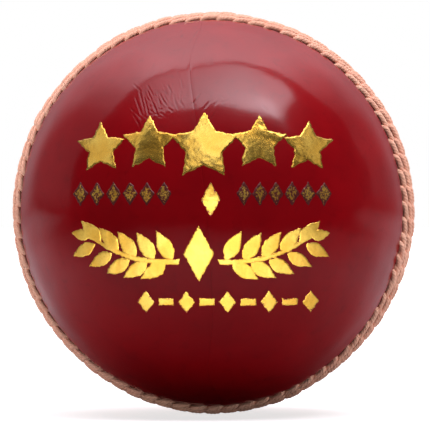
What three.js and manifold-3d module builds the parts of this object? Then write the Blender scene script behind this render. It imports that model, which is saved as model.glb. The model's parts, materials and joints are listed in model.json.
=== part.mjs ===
// A hand-stitched, four-quarter leather cricket ball, taken apart into the pieces it is made from.
//
// Frame: millimetres, +Z up, origin at the ball's centre. The seam lies in the XZ plane, so the ball stands on its
// seam; the axis through the two leather cups is Y, with the front cup on -Y and the rear cup on +Y.
//
// From the outside in: six rows of seam stitching bedded in shallow grooves, four leather quarters (two to a cup, the
// rear pair turned a quarter turn from the front pair), the hidden thread that sews each pair of quarters together,
// a thin lining in each cup, and the wound centre: yarn, cork strips, yarn, cork strips, yarn, and a cork nucleus.
import * as THREE from "three";
import { mergeVertices } from "three/addons/utils/BufferGeometryUtils.js";
import Module from "manifold-3d";

const wasm = await Module();
wasm.setup();

// ---- driving dimensions ----
const R_LEATHER = 35.65; // outside of the leather cups
const R_CREST = 36.4; // top of the seam stitches: 72.8 mm over the seam
const LEATHER_T = 3.6;
const LINING_T = 0.75;
const FIT = 0.08; // clearance between neighbouring layers
const CUP_GAP = 0.1; // between the two cups, at the seam plane
const QUARTER_GAP = 0.1; // between the two quarters of a cup
const QUARTER_TILT = 3; // degrees the front quarter seam leans from vertical

const STITCHES = 76; // in each row, round the ball
const ROW_OFFSETS = { inner: 1.6, middle: 4.7, outer: 9.4 }; // each row's distance from the seam plane
const THREAD_HALF = 0.68; // half the width of a stitch row at its foot
const THREAD_CREST_HALF = 0.36; // and along its ridges
const THREAD_DIP = 0.22; // how proud the row is of the leather between stitches
const GROOVE_HALF = 0.76;
const GROOVE_DEPTH = 0.4;

const R_NUCLEUS = 11.0;
const R_INNER_YARN = 15.0;
const R_INNER_CORK = 18.5;
const R_MIDDLE_YARN = 22.3;
const R_OUTER_CORK = 26.1;
const R_OUTER_YARN = 31.15;
const YARN_HOLE = 1.3; // where the tail of each yarn winding is drawn through
const INNER_STRIPS = 6;
const OUTER_STRIPS = 8;
const STRIP_GAP = 0.7;
const STRIP_LATITUDE = 64; // degrees from the strips' own equator to their ends

const R_LEATHER_IN = R_LEATHER - LEATHER_T;
const R_LINING_OUT = R_LEATHER_IN - FIT;
const R_LINING_IN = R_LINING_OUT - LINING_T;

// ---- materials ----
const finish = (color, roughness, metalness = 0) =>
  new THREE.MeshStandardMaterial({ color, roughness, metalness });
const LEATHER = finish(0x7a0c12, 0.28);
const LINING = finish(0xb08b66, 0.85);
const SEAM_THREAD = finish(0xe0a083, 0.8);
const HIDDEN_THREAD = finish(0xd8cbb2, 0.85);
const YARN = finish(0xcfc3ab, 0.95);
const CORK = finish(0xa9794d, 0.9);
const NUCLEUS = finish(0x6d4a2f, 0.8);

// ---- geometry helpers ----
const rad = THREE.MathUtils.degToRad;

// A closed geometry as a solid, turned the right way round.
function solid(geometry) {
  const bare = (geometry.index ? geometry.toNonIndexed() : geometry.clone());
  for (const name of Object.keys(bare.attributes))
    if (name !== "position") bare.deleteAttribute(name);
  const merged = mergeVertices(bare, 1e-4);
  const vertProperties = new Float32Array(merged.attributes.position.array);
  const triVerts = new Uint32Array(
    Array.from({ length: merged.index.count / 3 }, (_, i) => [
      merged.index.getX(3 * i),
      merged.index.getX(3 * i + 1),
      merged.index.getX(3 * i + 2),
    ])
      .filter(([a, b, c]) => a !== b && b !== c && a !== c)
      .flat(),
  );
  const make = () =>
    new wasm.Manifold(new wasm.Mesh({ numProp: 3, vertProperties, triVerts }));
  let made = make();
  if (made.volume() < 0) {
    for (let i = 0; i < triVerts.length; i += 3)
      [triVerts[i + 1], triVerts[i + 2]] = [triVerts[i + 2], triVerts[i + 1]];
    made = make();
  }
  return made;
}

// A solid back as a geometry.
function geometryOf(made) {
  const mesh = made.getMesh();
  const positions = new Float32Array(mesh.numVert * 3);
  for (let i = 0; i < mesh.numVert; i++)
    for (let k = 0; k < 3; k++)
      positions[3 * i + k] = mesh.vertProperties[mesh.numProp * i + k];
  const geometry = new THREE.BufferGeometry();
  geometry.setAttribute("position", new THREE.BufferAttribute(positions, 3));
  geometry.setIndex(new THREE.BufferAttribute(new Uint32Array(mesh.triVerts), 1));
  geometry.computeVertexNormals();
  return geometry;
}

// Points of an arc of radius r about the origin, from one latitude to another (degrees, about the lathe's Y axis).
function arc(r, from, to, steps) {
  return Array.from({ length: steps + 1 }, (_, i) => {
    const a = rad(from + ((to - from) * i) / steps);
    return new THREE.Vector2(Math.abs(r * Math.cos(a)) < 1e-6 ? 0 : r * Math.cos(a), r * Math.sin(a));
  });
}

// The vertex radius of a faceted hollow whose flat facets stay outside radius r.
const hollow = (r, around, latitudeStep) =>
  r / (Math.cos(Math.PI / around) * Math.cos(rad(latitudeStep / 2)));

// A box holding everything on one side of a plane through the Y axis, at an offset along its normal.
function halfSpace(normal, offset) {
  const size = 120;
  const box = new THREE.BoxGeometry(size, size, size);
  box.translate(size / 2 + offset, 0, 0); // everything with x above the offset
  box.applyQuaternion(
    new THREE.Quaternion().setFromUnitVectors(new THREE.Vector3(1, 0, 0), normal),
  );
  return solid(box);
}

// ---- leather cups ----
// Profile of the front cup, from its pole on -Y round the outside to the seam plane and back along the inside.
const CUP_AROUND = 40;
const latitudeAt = (distance, r = R_LEATHER) =>
  THREE.MathUtils.radToDeg(Math.asin(distance / r));

function cupProfile() {
  const at = (r, latitude) =>
    new THREE.Vector2(r * Math.cos(rad(latitude)), -r * Math.sin(rad(latitude)));
  const points = [new THREE.Vector2(0, -R_LEATHER)];
  for (const latitude of [79, 68, 57, 46, 35.5, 25.5]) points.push(at(R_LEATHER, latitude));
  for (const offset of [ROW_OFFSETS.outer, ROW_OFFSETS.middle, ROW_OFFSETS.inner]) {
    const near = latitudeAt(offset - GROOVE_HALF);
    const far = latitudeAt(offset + GROOVE_HALF);
    points.push(
      at(R_LEATHER, far),
      at(R_LEATHER - GROOVE_DEPTH, far),
      at(R_LEATHER - GROOVE_DEPTH, near),
      at(R_LEATHER, near),
    );
  }
  const lip = CUP_GAP / 2;
  points.push(new THREE.Vector2(Math.sqrt(R_LEATHER ** 2 - lip ** 2), -lip));
  const steps = 8;
  const inside = hollow(R_LEATHER_IN, CUP_AROUND, 90 / steps);
  points.push(new THREE.Vector2(Math.sqrt(inside ** 2 - lip ** 2), -lip));
  for (let i = 1; i < steps; i++) points.push(at(inside, (90 * i) / steps));
  points.push(new THREE.Vector2(0, -inside));
  return points;
}

// The hidden zigzag that sews two quarters edge to edge, and the channel it lies in, both in the plane z = 0 with
// the cup's pole on -Y.
const SEW_HALF_ANGLE = 66; // degrees each side of the pole
const SEW_RADIUS = R_LEATHER_IN + 0.62;
const SEW_SWING = 1.15;
const SEW_PERIODS = 19;
const SEW_THREAD = 0.34; // half thickness

class QuarterSewing extends THREE.Curve {
  constructor() {
    super();
    this.arcLengthDivisions = SEW_PERIODS * 2 * 12;
  }
  getPoint(t, target = new THREE.Vector3()) {
    const a = rad(-SEW_HALF_ANGLE + 2 * SEW_HALF_ANGLE * t);
    const phase = (t * SEW_PERIODS * 2) % 2;
    const swing = phase < 1 ? 1 - 2 * phase : 2 * phase - 3;
    return target.set(
      SEW_RADIUS * Math.sin(a),
      -SEW_RADIUS * Math.cos(a),
      SEW_SWING * swing,
    );
  }
}

function sewingThread() {
  const s = SEW_THREAD;
  const section = new THREE.Shape([
    new THREE.Vector2(s, 0),
    new THREE.Vector2(0, s),
    new THREE.Vector2(-s, 0),
    new THREE.Vector2(0, -s),
  ]);
  return new THREE.ExtrudeGeometry(section, {
    steps: SEW_PERIODS * 2,
    extrudePath: new QuarterSewing(),
    bevelEnabled: false,
  });
}

function sewingChannel() {
  const half = rad(SEW_HALF_ANGLE + 3);
  const steps = 20;
  const outline = [];
  for (let i = 0; i <= steps; i++) {
    const a = -half + (2 * half * i) / steps;
    outline.push(new THREE.Vector2((SEW_RADIUS + 0.62) * Math.sin(a), -(SEW_RADIUS + 0.62) * Math.cos(a)));
  }
  for (let i = steps; i >= 0; i--) {
    const a = -half + (2 * half * i) / steps;
    outline.push(new THREE.Vector2((R_LEATHER_IN - 1) * Math.sin(a), -(R_LEATHER_IN - 1) * Math.cos(a)));
  }
  const depth = 2 * (SEW_SWING + 0.65);
  const channel = new THREE.ExtrudeGeometry(new THREE.Shape(outline), {
    depth,
    steps: 1,
    bevelEnabled: false,
  });
  channel.translate(0, 0, -depth / 2);
  return channel;
}

// One cup's two quarters, cut apart along the plane that holds the Y axis and has the given normal.
// turn takes the front cup's own frame to the cup's place.
function cupParts(turn, normal) {
  const along = new THREE.Matrix4().makeBasis(
    new THREE.Vector3().crossVectors(new THREE.Vector3(0, 1, 0), normal),
    new THREE.Vector3(0, 1, 0),
    normal,
  );
  const whole = solid(new THREE.LatheGeometry(cupProfile(), CUP_AROUND));
  const grooved = whole.subtract(
    solid(sewingChannel().applyMatrix4(along)),
  );
  const sides = [normal.clone().negate(), normal].map((n) =>
    geometryOf(grooved.intersect(halfSpace(n, QUARTER_GAP / 2))).applyMatrix4(turn),
  );
  const thread = geometryOf(solid(sewingThread().applyMatrix4(along))).applyMatrix4(turn);
  return { sides, thread };
}

// ---- seam stitching ----
// One row: a closed ring of thread in its groove. Along the equator side the thread peaks at every even step and along
// the pole side at every odd one, so a ridge slants across the row once a stitch, and the row dips between ridges where
// the thread goes down its hole.
function seamRow(offset) {
  const base = R_LEATHER - GROOVE_DEPTH + 0.06;
  // a point of the section: radius from the ball's centre, and distance across the row towards the seam plane
  const at = (radius, across) => {
    const y = offset - across;
    return new THREE.Vector2(Math.sqrt(radius ** 2 - y ** 2), -y);
  };
  const low = R_LEATHER + THREAD_DIP;
  const ring = new THREE.LatheGeometry(
    [
      at(base, -THREAD_HALF),
      at(low, -THREAD_CREST_HALF),
      at(low, THREAD_CREST_HALF),
      at(base, THREAD_HALF),
      at(base, -THREAD_HALF),
    ],
    STITCHES * 2,
  );
  ring.scale(-1, 1, 1); // so that the ridges slant the way the ball is sewn
  const position = ring.attributes.position;
  const v = new THREE.Vector3();
  for (let i = 0; i < position.count; i++) {
    v.fromBufferAttribute(position, i);
    if (v.length() < low - 0.01) continue; // the foot of the row stays put
    const step = Math.round((Math.atan2(v.x, v.z) / Math.PI) * STITCHES);
    const equatorSide = -v.y < offset;
    if (Math.abs(step) % 2 === (equatorSide ? 0 : 1)) v.multiplyScalar(R_CREST / low);
    position.setXYZ(i, v.x, v.y, v.z);
  }
  return geometryOf(solid(ring));
}

// ---- centre ----
// A shell of wound yarn, with a small opening at one pole.
function yarnShell(inner, outer, around = 22, steps = 9) {
  const hole = THREE.MathUtils.radToDeg(Math.acos(YARN_HOLE / outer));
  const inside = hollow(inner, around, (90 + hole) / steps);
  const insideHole = THREE.MathUtils.radToDeg(Math.acos(YARN_HOLE / inside));
  return new THREE.LatheGeometry(
    [...arc(outer, -90, hole, steps), ...arc(inside, insideHole, -90, steps)],
    around,
  );
}

// One cork strip: a gore of a spherical layer, between two planes through the layer's axis (Y here).
function corkStrip(inner, outer, count, index, around = 24, steps = 6) {
  const inside = hollow(inner, around, (2 * STRIP_LATITUDE) / steps);
  const profile = [
    ...arc(outer, -STRIP_LATITUDE, STRIP_LATITUDE, steps),
    ...arc(inside, STRIP_LATITUDE, -STRIP_LATITUDE, steps),
  ];
  profile.push(profile[0].clone());
  const ring = solid(new THREE.LatheGeometry(profile, around));
  const half = Math.PI / count;
  const reach = 80;
  const apex = STRIP_GAP / 2 / Math.sin(half);
  const wedge = new THREE.ExtrudeGeometry(
    new THREE.Shape([
      new THREE.Vector2(apex, 0),
      new THREE.Vector2(apex + reach * Math.cos(half), -reach * Math.sin(half)),
      new THREE.Vector2(apex + reach * Math.cos(half), reach * Math.sin(half)),
    ]),
    { depth: 100, steps: 1, bevelEnabled: false },
  );
  wedge.translate(0, 0, -50);
  wedge.rotateX(Math.PI / 2); // the wedge's edge now lies along Y
  wedge.rotateY((2 * Math.PI * index) / count + half);
  return geometryOf(ring.intersect(solid(wedge)));
}

// ---- assembly ----
const ball = new THREE.Group();
ball.name = "cricket_ball";

function add(parent, name, geometry, material) {
  const mesh = new THREE.Mesh(geometry, material);
  mesh.name = name;
  parent.add(mesh);
  return mesh;
}

const cover = new THREE.Group();
ball.add(cover);

const lean = rad(QUARTER_TILT);
const front = cupParts(
  new THREE.Matrix4(),
  new THREE.Vector3(Math.cos(lean), 0, Math.sin(lean)),
);
add(cover, "front_left_quarter", front.sides[0], LEATHER);
add(cover, "front_right_quarter", front.sides[1], LEATHER);
add(cover, "front_quarter_seam_thread", front.thread, HIDDEN_THREAD);

// The rear cup is the front one turned half a turn about X, with its quarter seam a quarter turn round.
const rear = cupParts(
  new THREE.Matrix4().makeRotationX(Math.PI),
  new THREE.Vector3(-Math.sin(lean), 0, -Math.cos(lean)),
);
add(cover, "rear_lower_quarter", rear.sides[0], LEATHER);
add(cover, "rear_upper_quarter", rear.sides[1], LEATHER);
add(cover, "rear_quarter_seam_thread", rear.thread, HIDDEN_THREAD);

for (const [side, turn] of [
  ["front", 0],
  ["rear", Math.PI],
]) {
  const half = new THREE.Group();
  half.rotation.x = turn;
  cover.add(half);
  for (const row of ["outer", "middle", "inner"])
    add(half, `${side}_${row}_stitch_row`, seamRow(ROW_OFFSETS[row]), SEAM_THREAD);

  const around = 24;
  const steps = 6;
  const lipOut = latitudeAt(0.5, R_LINING_OUT);
  const inside = hollow(R_LINING_IN, around, 90 / steps);
  const lipIn = latitudeAt(0.5, inside);
  add(
    half,
    `${side}_cup_lining`,
    new THREE.LatheGeometry(
      [...arc(R_LINING_OUT, -90, -lipOut, steps), ...arc(inside, -lipIn, -90, steps)],
      around,
    ),
    LINING,
  );
}

const centre = new THREE.Group();
ball.add(centre);
add(centre, "outer_yarn_winding", yarnShell(R_OUTER_CORK + FIT, R_OUTER_YARN, 26, 10), YARN).rotation.set(0.5, 0, 0.9);
add(centre, "middle_yarn_winding", yarnShell(R_INNER_CORK + FIT, R_MIDDLE_YARN), YARN).rotation.set(2.1, 0.4, 0);
add(centre, "inner_yarn_winding", yarnShell(R_NUCLEUS + FIT, R_INNER_YARN, 18, 8), YARN).rotation.set(0, 0, 2.4);

const outerCork = new THREE.Group();
outerCork.rotation.z = -Math.PI / 2; // its strips run from -X to +X
centre.add(outerCork);
for (let i = 0; i < OUTER_STRIPS; i++)
  add(outerCork, `outer_cork_strip_${i + 1}`, corkStrip(R_MIDDLE_YARN + FIT, R_OUTER_CORK, OUTER_STRIPS, i), CORK);

const innerCork = new THREE.Group();
innerCork.rotation.x = Math.PI / 2; // its strips run from -Z to +Z
centre.add(innerCork);
for (let i = 0; i < INNER_STRIPS; i++)
  add(innerCork, `inner_cork_strip_${i + 1}`, corkStrip(R_INNER_YARN + FIT, R_INNER_CORK, INNER_STRIPS, i), CORK);

add(centre, "cork_nucleus", new THREE.LatheGeometry(arc(R_NUCLEUS, -90, 90, 10), 18), NUCLEUS);

export default ball;
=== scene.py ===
import json
import math

import bpy
import numpy as np
from mathutils import Matrix, Vector
from mathutils.geometry import delaunay_2d_cdt

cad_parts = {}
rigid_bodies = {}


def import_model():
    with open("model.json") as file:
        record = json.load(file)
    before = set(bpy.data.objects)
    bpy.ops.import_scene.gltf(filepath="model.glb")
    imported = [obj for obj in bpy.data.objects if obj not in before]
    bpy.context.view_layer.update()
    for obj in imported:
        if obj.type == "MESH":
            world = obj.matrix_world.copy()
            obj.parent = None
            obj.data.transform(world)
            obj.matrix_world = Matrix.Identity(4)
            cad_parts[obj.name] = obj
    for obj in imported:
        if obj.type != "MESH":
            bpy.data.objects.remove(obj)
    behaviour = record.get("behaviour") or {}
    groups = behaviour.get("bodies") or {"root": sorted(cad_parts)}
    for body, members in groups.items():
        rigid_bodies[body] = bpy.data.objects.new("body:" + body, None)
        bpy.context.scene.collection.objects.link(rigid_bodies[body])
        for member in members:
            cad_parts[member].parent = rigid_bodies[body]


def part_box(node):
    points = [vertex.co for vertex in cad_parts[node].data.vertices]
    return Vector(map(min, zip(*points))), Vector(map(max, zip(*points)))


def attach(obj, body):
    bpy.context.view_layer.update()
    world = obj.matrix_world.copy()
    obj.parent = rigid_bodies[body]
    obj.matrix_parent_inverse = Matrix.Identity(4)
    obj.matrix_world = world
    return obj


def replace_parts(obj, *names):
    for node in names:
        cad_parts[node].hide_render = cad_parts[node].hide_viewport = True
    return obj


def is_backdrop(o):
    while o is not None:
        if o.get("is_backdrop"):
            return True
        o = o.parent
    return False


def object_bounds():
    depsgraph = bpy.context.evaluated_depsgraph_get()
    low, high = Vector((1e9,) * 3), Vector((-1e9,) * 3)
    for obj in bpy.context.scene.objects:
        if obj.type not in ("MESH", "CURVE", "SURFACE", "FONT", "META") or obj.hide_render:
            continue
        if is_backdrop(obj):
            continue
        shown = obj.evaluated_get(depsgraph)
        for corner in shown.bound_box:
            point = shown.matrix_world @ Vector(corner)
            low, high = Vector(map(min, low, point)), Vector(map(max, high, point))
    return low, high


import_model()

cad_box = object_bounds()
MM = 1000.0
TAU = 2 * math.pi


# ---------------------------------------------------------------- dimensions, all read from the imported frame, in mm
def node_box(name):
    lo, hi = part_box(name)
    return np.array(lo) * MM, np.array(hi) * MM


R = -node_box("front_left_quarter")[0][1]
R_LINING_OUT = -node_box("front_cup_lining")[0][1]
R_IN = R_LINING_OUT + 0.08
R_LINING_IN = R_LINING_OUT - 0.75
ROWS = {}
for row in ("inner", "middle", "outer"):
    lo, hi = node_box(f"front_{row}_stitch_row")
    ROWS[row] = -(lo[1] + hi[1]) / 2
_lo, _hi = node_box("front_inner_stitch_row")
R_CREST = math.hypot(_hi[2], ROWS["inner"] - 0.36)
R_NUCLEUS = node_box("cork_nucleus")[1][2]
STITCHES = 76
PITCH = TAU / STITCHES
QUARTER_TILT = math.radians(3.0)

rng_all = np.random.default_rng(20240611)


# ---------------------------------------------------------------- small numeric helpers
class Waves:
    """Smooth noise of unit variance: a sum of plane waves near one wavelength, in mm."""

    def __init__(self, seed, wavelength, count=28, spread=0.3):
        r = np.random.default_rng(seed)
        d = r.normal(size=(count, 3))
        d /= np.linalg.norm(d, axis=1)[:, None]
        k = TAU / (wavelength * np.exp(r.normal(0, spread, count)))
        self.k = d * k[:, None]
        self.phase = r.uniform(0, TAU, count)
        self.a = math.sqrt(2.0 / count)

    def __call__(self, p):
        out = np.zeros(len(p))
        for k, ph in zip(self.k, self.phase):
            out += np.sin(p @ k + ph)
        return self.a * out


def smooth(x, a, b):
    t = np.clip((x - a) / (b - a), 0, 1)
    return t * t * (3 - 2 * t)


def bell(x, width):
    return np.exp(-((x / width) ** 2))


def mesh_object(name, verts, quads=None, tris=None, attrs=None, mats=(), smooth_shade=True, outward=True):
    """A mesh object from numpy arrays, vertices in mm. Faces are turned outwards by the sign of the enclosed volume."""
    verts = np.asarray(verts, float)
    quads = np.zeros((0, 4), int) if quads is None or len(quads) == 0 else np.asarray(quads, int)
    tris = np.zeros((0, 3), int) if tris is None or len(tris) == 0 else np.asarray(tris, int)
    if outward:
        t = np.concatenate([tris, quads[:, [0, 1, 2]], quads[:, [0, 2, 3]]])
        a, b, c = verts[t[:, 0]], verts[t[:, 1]], verts[t[:, 2]]
        if np.einsum("ij,ij->i", a, np.cross(b, c)).sum() < 0:
            quads, tris = quads[:, ::-1], tris[:, ::-1]
    me = bpy.data.meshes.new(name)
    me.vertices.add(len(verts))
    me.vertices.foreach_set("co", (verts / MM).astype(np.float32).ravel())
    loops = np.concatenate([quads.ravel(), tris.ravel()]).astype(np.int32)
    starts = np.concatenate([np.arange(len(quads)) * 4, len(quads) * 4 + np.arange(len(tris)) * 3]).astype(np.int32)
    me.loops.add(len(loops))
    me.loops.foreach_set("vertex_index", loops)
    me.polygons.add(len(starts))
    me.polygons.foreach_set("loop_start", starts)
    me.update(calc_edges=True)
    if smooth_shade:
        me.polygons.foreach_set("use_smooth", np.ones(len(starts), bool))
    for key, values in (attrs or {}).items():
        at = me.attributes.new(key, "FLOAT", "POINT")
        at.data.foreach_set("value", np.asarray(values, np.float32))
    for m in mats:
        me.materials.append(m)
    ob = bpy.data.objects.new(name, me)
    bpy.context.scene.collection.objects.link(ob)
    return ob


def stitch(a, b, ia, ib):
    """Triangles between two strips of sorted parameters a and b with vertex indices ia and ib."""
    out = []
    i = j = 0
    na, nb = len(a) - 1, len(b) - 1
    while i < na or j < nb:
        if j == nb or (i < na and abs(a[i + 1] - b[j]) <= abs(b[j + 1] - a[i])):
            out.append((ia[i], ia[i + 1], ib[j]))
            i += 1
        else:
            out.append((ia[i], ib[j + 1], ib[j]))
            j += 1
    return out


def place(name, ob, slot, *nodes):
    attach(ob, "root")
    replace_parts(ob, *nodes) if nodes else None
    return ob


# ---------------------------------------------------------------- node helpers
class Nodes:
    def __init__(self, tree):
        self.t = tree
        tree.nodes.clear()

    def add(self, kind, **props):
        n = self.t.nodes.new(kind)
        for k, v in props.items():
            setattr(n, k, v)
        return n

    def put(self, socket, value):
        if isinstance(value, bpy.types.NodeSocket):
            self.t.links.new(value, socket)
        elif value is not None:
            if socket.type == "RGBA" and not hasattr(value, "__len__"):
                value = (value, value, value, 1)
            elif socket.type == "RGBA" and len(value) == 3:
                value = (*value, 1)
            elif socket.type == "VECTOR" and not hasattr(value, "__len__"):
                value = (value, value, value)
            socket.default_value = value

    def math(self, op, a, b=None, c=None, clamp=False):
        n = self.add("ShaderNodeMath", operation=op, use_clamp=clamp)
        for i, v in enumerate((a, b, c)):
            if v is not None:
                self.put(n.inputs[i], v)
        return n.outputs[0]

    def sum(self, *terms):
        out = terms[0]
        for t in terms[1:]:
            out = self.math("ADD", out, t)
        return out

    def mul(self, a, b, clamp=False):
        return self.math("MULTIPLY", a, b, clamp=clamp)

    def step(self, x, a, b):
        """0 below a, 1 above b, smooth between."""
        n = self.add("ShaderNodeMapRange", interpolation_type="SMOOTHSTEP")
        self.put(n.inputs["Value"], x)
        self.put(n.inputs["From Min"], a)
        self.put(n.inputs["From Max"], b)
        return n.outputs["Result"]

    def lin(self, x, a, b, lo, hi):
        n = self.add("ShaderNodeMapRange", clamp=True)
        for k, v in (("Value", x), ("From Min", a), ("From Max", b), ("To Min", lo), ("To Max", hi)):
            self.put(n.inputs[k], v)
        return n.outputs["Result"]

    def mix(self, f, a, b, blend="MIX"):
        n = self.add("ShaderNodeMix", data_type="RGBA", blend_type=blend)
        self.put(n.inputs[0], f)
        self.put(n.inputs[6], a)
        self.put(n.inputs[7], b)
        return n.outputs[2]

    def blend(self, f, a, b):
        n = self.add("ShaderNodeMix", data_type="FLOAT")
        self.put(n.inputs[0], f)
        self.put(n.inputs[2], a)
        self.put(n.inputs[3], b)
        return n.outputs[0]

    def coords(self, scale=(1000, 1000, 1000), rotation=(0, 0, 0)):
        tc = self.add("ShaderNodeTexCoord")
        m = self.add("ShaderNodeMapping")
        self.put(m.inputs["Vector"], tc.outputs["Object"])
        m.inputs["Scale"].default_value = scale
        m.inputs["Rotation"].default_value = rotation
        return m.outputs["Vector"]

    def noise(self, vec, scale, detail=3.0, rough=0.5, distort=0.0):
        n = self.add("ShaderNodeTexNoise")
        self.put(n.inputs["Vector"], vec)
        n.inputs["Scale"].default_value = scale
        n.inputs["Detail"].default_value = detail
        n.inputs["Roughness"].default_value = rough
        n.inputs["Distortion"].default_value = distort
        return n.outputs["Fac"]

    def voronoi(self, vec, scale, feature="F1", out="Distance", random=1.0):
        n = self.add("ShaderNodeTexVoronoi", feature=feature)
        self.put(n.inputs["Vector"], vec)
        n.inputs["Scale"].default_value = scale
        n.inputs["Randomness"].default_value = random
        return n.outputs[out]

    def attr(self, name):
        return self.add("ShaderNodeAttribute", attribute_name=name).outputs["Fac"]

    def bump(self, height, mm, normal=None, strength=1.0):
        n = self.add("ShaderNodeBump")
        n.inputs["Strength"].default_value = strength
        n.inputs["Distance"].default_value = mm / MM
        self.put(n.inputs["Height"], height)
        if normal is not None:
            self.put(n.inputs["Normal"], normal)
        return n.outputs["Normal"]

    def principled(self, **inputs):
        p = self.add("ShaderNodeBsdfPrincipled")
        for k, v in inputs.items():
            self.put(p.inputs[k.replace("_", " ")], v)
        out = self.add("ShaderNodeOutputMaterial")
        self.t.links.new(p.outputs["BSDF"], out.inputs["Surface"])
        return p


def material(name):
    m = bpy.data.materials.new(name)
    m.use_nodes = True
    return m, Nodes(m.node_tree)


# ---------------------------------------------------------------- materials
def red_leather():
    m, n = material("red_leather")
    p = n.coords()
    dip = n.attr("dip")
    crease = n.attr("crease")
    broad = n.noise(p, 0.07, 3, 0.55)
    mottle = n.noise(p, 0.45, 5, 0.6, 0.4)
    fine = n.noise(p, 3.2, 4, 0.65)
    base = n.mix(n.step(broad, 0.35, 0.68), (0.520, 0.0034, 0.0092), (0.430, 0.0030, 0.0084))
    base = n.mix(n.mul(n.step(mottle, 0.5, 0.78), 0.40), base, (0.290, 0.0024, 0.0068))
    base = n.mix(n.mul(n.step(fine, 0.55, 0.8), 0.16), base, (0.58, 0.0085, 0.0140))
    # painted shade: the colour is darkened in the creases
    base = n.mix(n.mul(crease, 0.5, clamp=True), base, (0.130, 0.0018, 0.0024))
    # painted shade: the colour is darkened in the stitch grooves, the thread holes and the joints, where dip is high
    base = n.mix(n.step(dip, 0.05, 0.75), base, (0.085, 0.0018, 0.0020))
    # grain: a net of tiny cells, filled in by polish, and a few straight rubbed scratches
    cells = n.voronoi(p, 1.9, "SMOOTH_F1")
    pores = n.step(n.voronoi(p, 2.7), 0.0, 0.16)
    stretched = n.coords((1000, 1000, 160), (0.5, 0.3, 0.9))
    scratch = n.step(n.noise(stretched, 2.2, 2, 0.5), 0.66, 0.74)
    height = n.sum(n.mul(cells, 0.5), n.mul(pores, 0.16), n.mul(fine, 0.35), n.mul(scratch, -0.25))
    normal = n.bump(height, 0.018)
    wave = n.noise(p, 0.33, 2, 0.5)
    coat_height = n.sum(n.mul(height, 0.30), n.mul(wave, 1.6))
    coat_normal = n.bump(coat_height, 0.011)
    rough = n.sum(0.34, n.mul(n.math("SUBTRACT", fine, 0.5), 0.18), n.mul(dip, 0.3))
    coat = n.math("SUBTRACT", 0.85, n.mul(n.step(dip, 0.1, 0.8), 0.75))
    coat_rough = n.sum(0.085, n.mul(mottle, 0.07), n.mul(scratch, 0.10))
    n.principled(
        Base_Color=base, Roughness=rough, IOR=1.45, Normal=normal, Specular_IOR_Level=0.10,
        Coat_Weight=coat, Coat_Roughness=coat_rough, Coat_IOR=1.5, Coat_Normal=coat_normal,
    )
    return m


def seam_thread():
    m, n = material("seam_thread")
    p = n.coords()
    cavity_shade = n.attr("cavity_shade")
    var = n.attr("var")
    ply = n.attr("ply")
    along = n.attr("along")
    v = n.add("ShaderNodeCombineXYZ")
    n.put(v.inputs[0], n.mul(ply, 9.0))
    n.put(v.inputs[1], n.mul(along, 1.3))
    n.put(v.inputs[2], n.mul(var, 37.0))
    fibre = n.noise(v.outputs[0], 1.6, 3, 0.6)
    patch = n.noise(p, 0.35, 3, 0.5)
    tint = n.noise(p, 0.09, 2, 0.5)
    base = n.mix(n.step(fibre, 0.3, 0.72), (0.90, 0.42, 0.29), (0.98, 0.60, 0.44))
    base = n.mix(n.mul(n.step(patch, 0.4, 0.75), 0.55), base, (0.98, 0.62, 0.45))
    base = n.mix(n.mul(n.step(tint, 0.4, 0.62), 0.35), base, (0.93, 0.47, 0.31))
    base = n.mix(n.mul(var, 0.30), base, (0.90, 0.38, 0.28))
    # painted shade: darker between the plies, on the thread's underside and where it goes down into the leather
    base = n.mix(n.step(cavity_shade, 0.42, 1.05), base, (0.38, 0.070, 0.040))
    micro = n.noise(p, 9.0, 3, 0.7)
    height = n.sum(n.mul(fibre, 0.8), n.mul(micro, 0.5))
    normal = n.bump(height, 0.035)
    n.principled(
        Base_Color=base, Roughness=n.sum(0.62, n.mul(micro, 0.2)), Normal=normal, Specular_IOR_Level=0.3,
        Sheen_Weight=0.25, Sheen_Roughness=0.5, Sheen_Tint=(1.0, 0.8, 0.7),
    )
    return m


def gold_foil():
    m, n = material("gold_foil")
    p = n.coords()
    edge = n.attr("edge")  # 1 at an outline, falling to 0 inside
    worn = n.attr("worn")  # how far the whole mark is rubbed
    big = n.noise(p, 0.22, 3, 0.55)
    flake = n.noise(p, 2.6, 5, 0.7)
    specks = n.noise(p, 6.5, 3, 0.6)
    gold = n.mix(n.step(big, 0.38, 0.66), (0.93, 0.52, 0.065), (1.0, 0.65, 0.115))
    gold = n.mix(n.mul(n.step(flake, 0.45, 0.7), 0.4), gold, (0.68, 0.35, 0.04))
    rub = n.sum(n.mul(flake, 1.0), n.mul(specks, 0.28), n.mul(edge, 0.20), n.mul(worn, 0.32))
    gone = n.step(rub, 0.93, 0.99)
    base = n.mix(gone, gold, (0.13, 0.006, 0.006))
    metal = n.math("SUBTRACT", 0.86, n.mul(gone, 0.86))
    height_mm = n.add("ShaderNodeSeparateXYZ")
    n.put(height_mm.inputs[0], p)
    satin = n.math("SUBTRACT", 1.0, n.step(height_mm.outputs[2], 3.5, 7.0))  # the upper band kept its polish
    rough = n.sum(0.15, n.mul(satin, 0.12), n.mul(specks, 0.20), n.mul(gone, 0.10))
    height = n.sum(n.mul(flake, 0.5), n.mul(specks, 0.4), n.mul(gone, -1.0))
    normal = n.bump(height, 0.02, n.bump(big, 0.40))
    n.principled(Base_Color=base, Metallic=metal, Roughness=rough, Normal=normal, Coat_Weight=0.25, Coat_Roughness=0.2)
    return m


def lining_leather():
    m, n = material("lining_leather")
    p = n.coords()
    nap = n.noise(p, 1.2, 6, 0.7, 0.6)
    spot = n.noise(p, 0.12, 3, 0.5)
    base = n.mix(n.step(nap, 0.3, 0.7), (0.38, 0.24, 0.14), (0.58, 0.42, 0.28))
    base = n.mix(n.mul(n.step(spot, 0.45, 0.7), 0.5), base, (0.33, 0.15, 0.10))
    n.principled(Base_Color=base, Roughness=n.sum(0.75, n.mul(nap, 0.2)), Normal=n.bump(nap, 0.08), Sheen_Weight=0.3)
    return m


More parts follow.
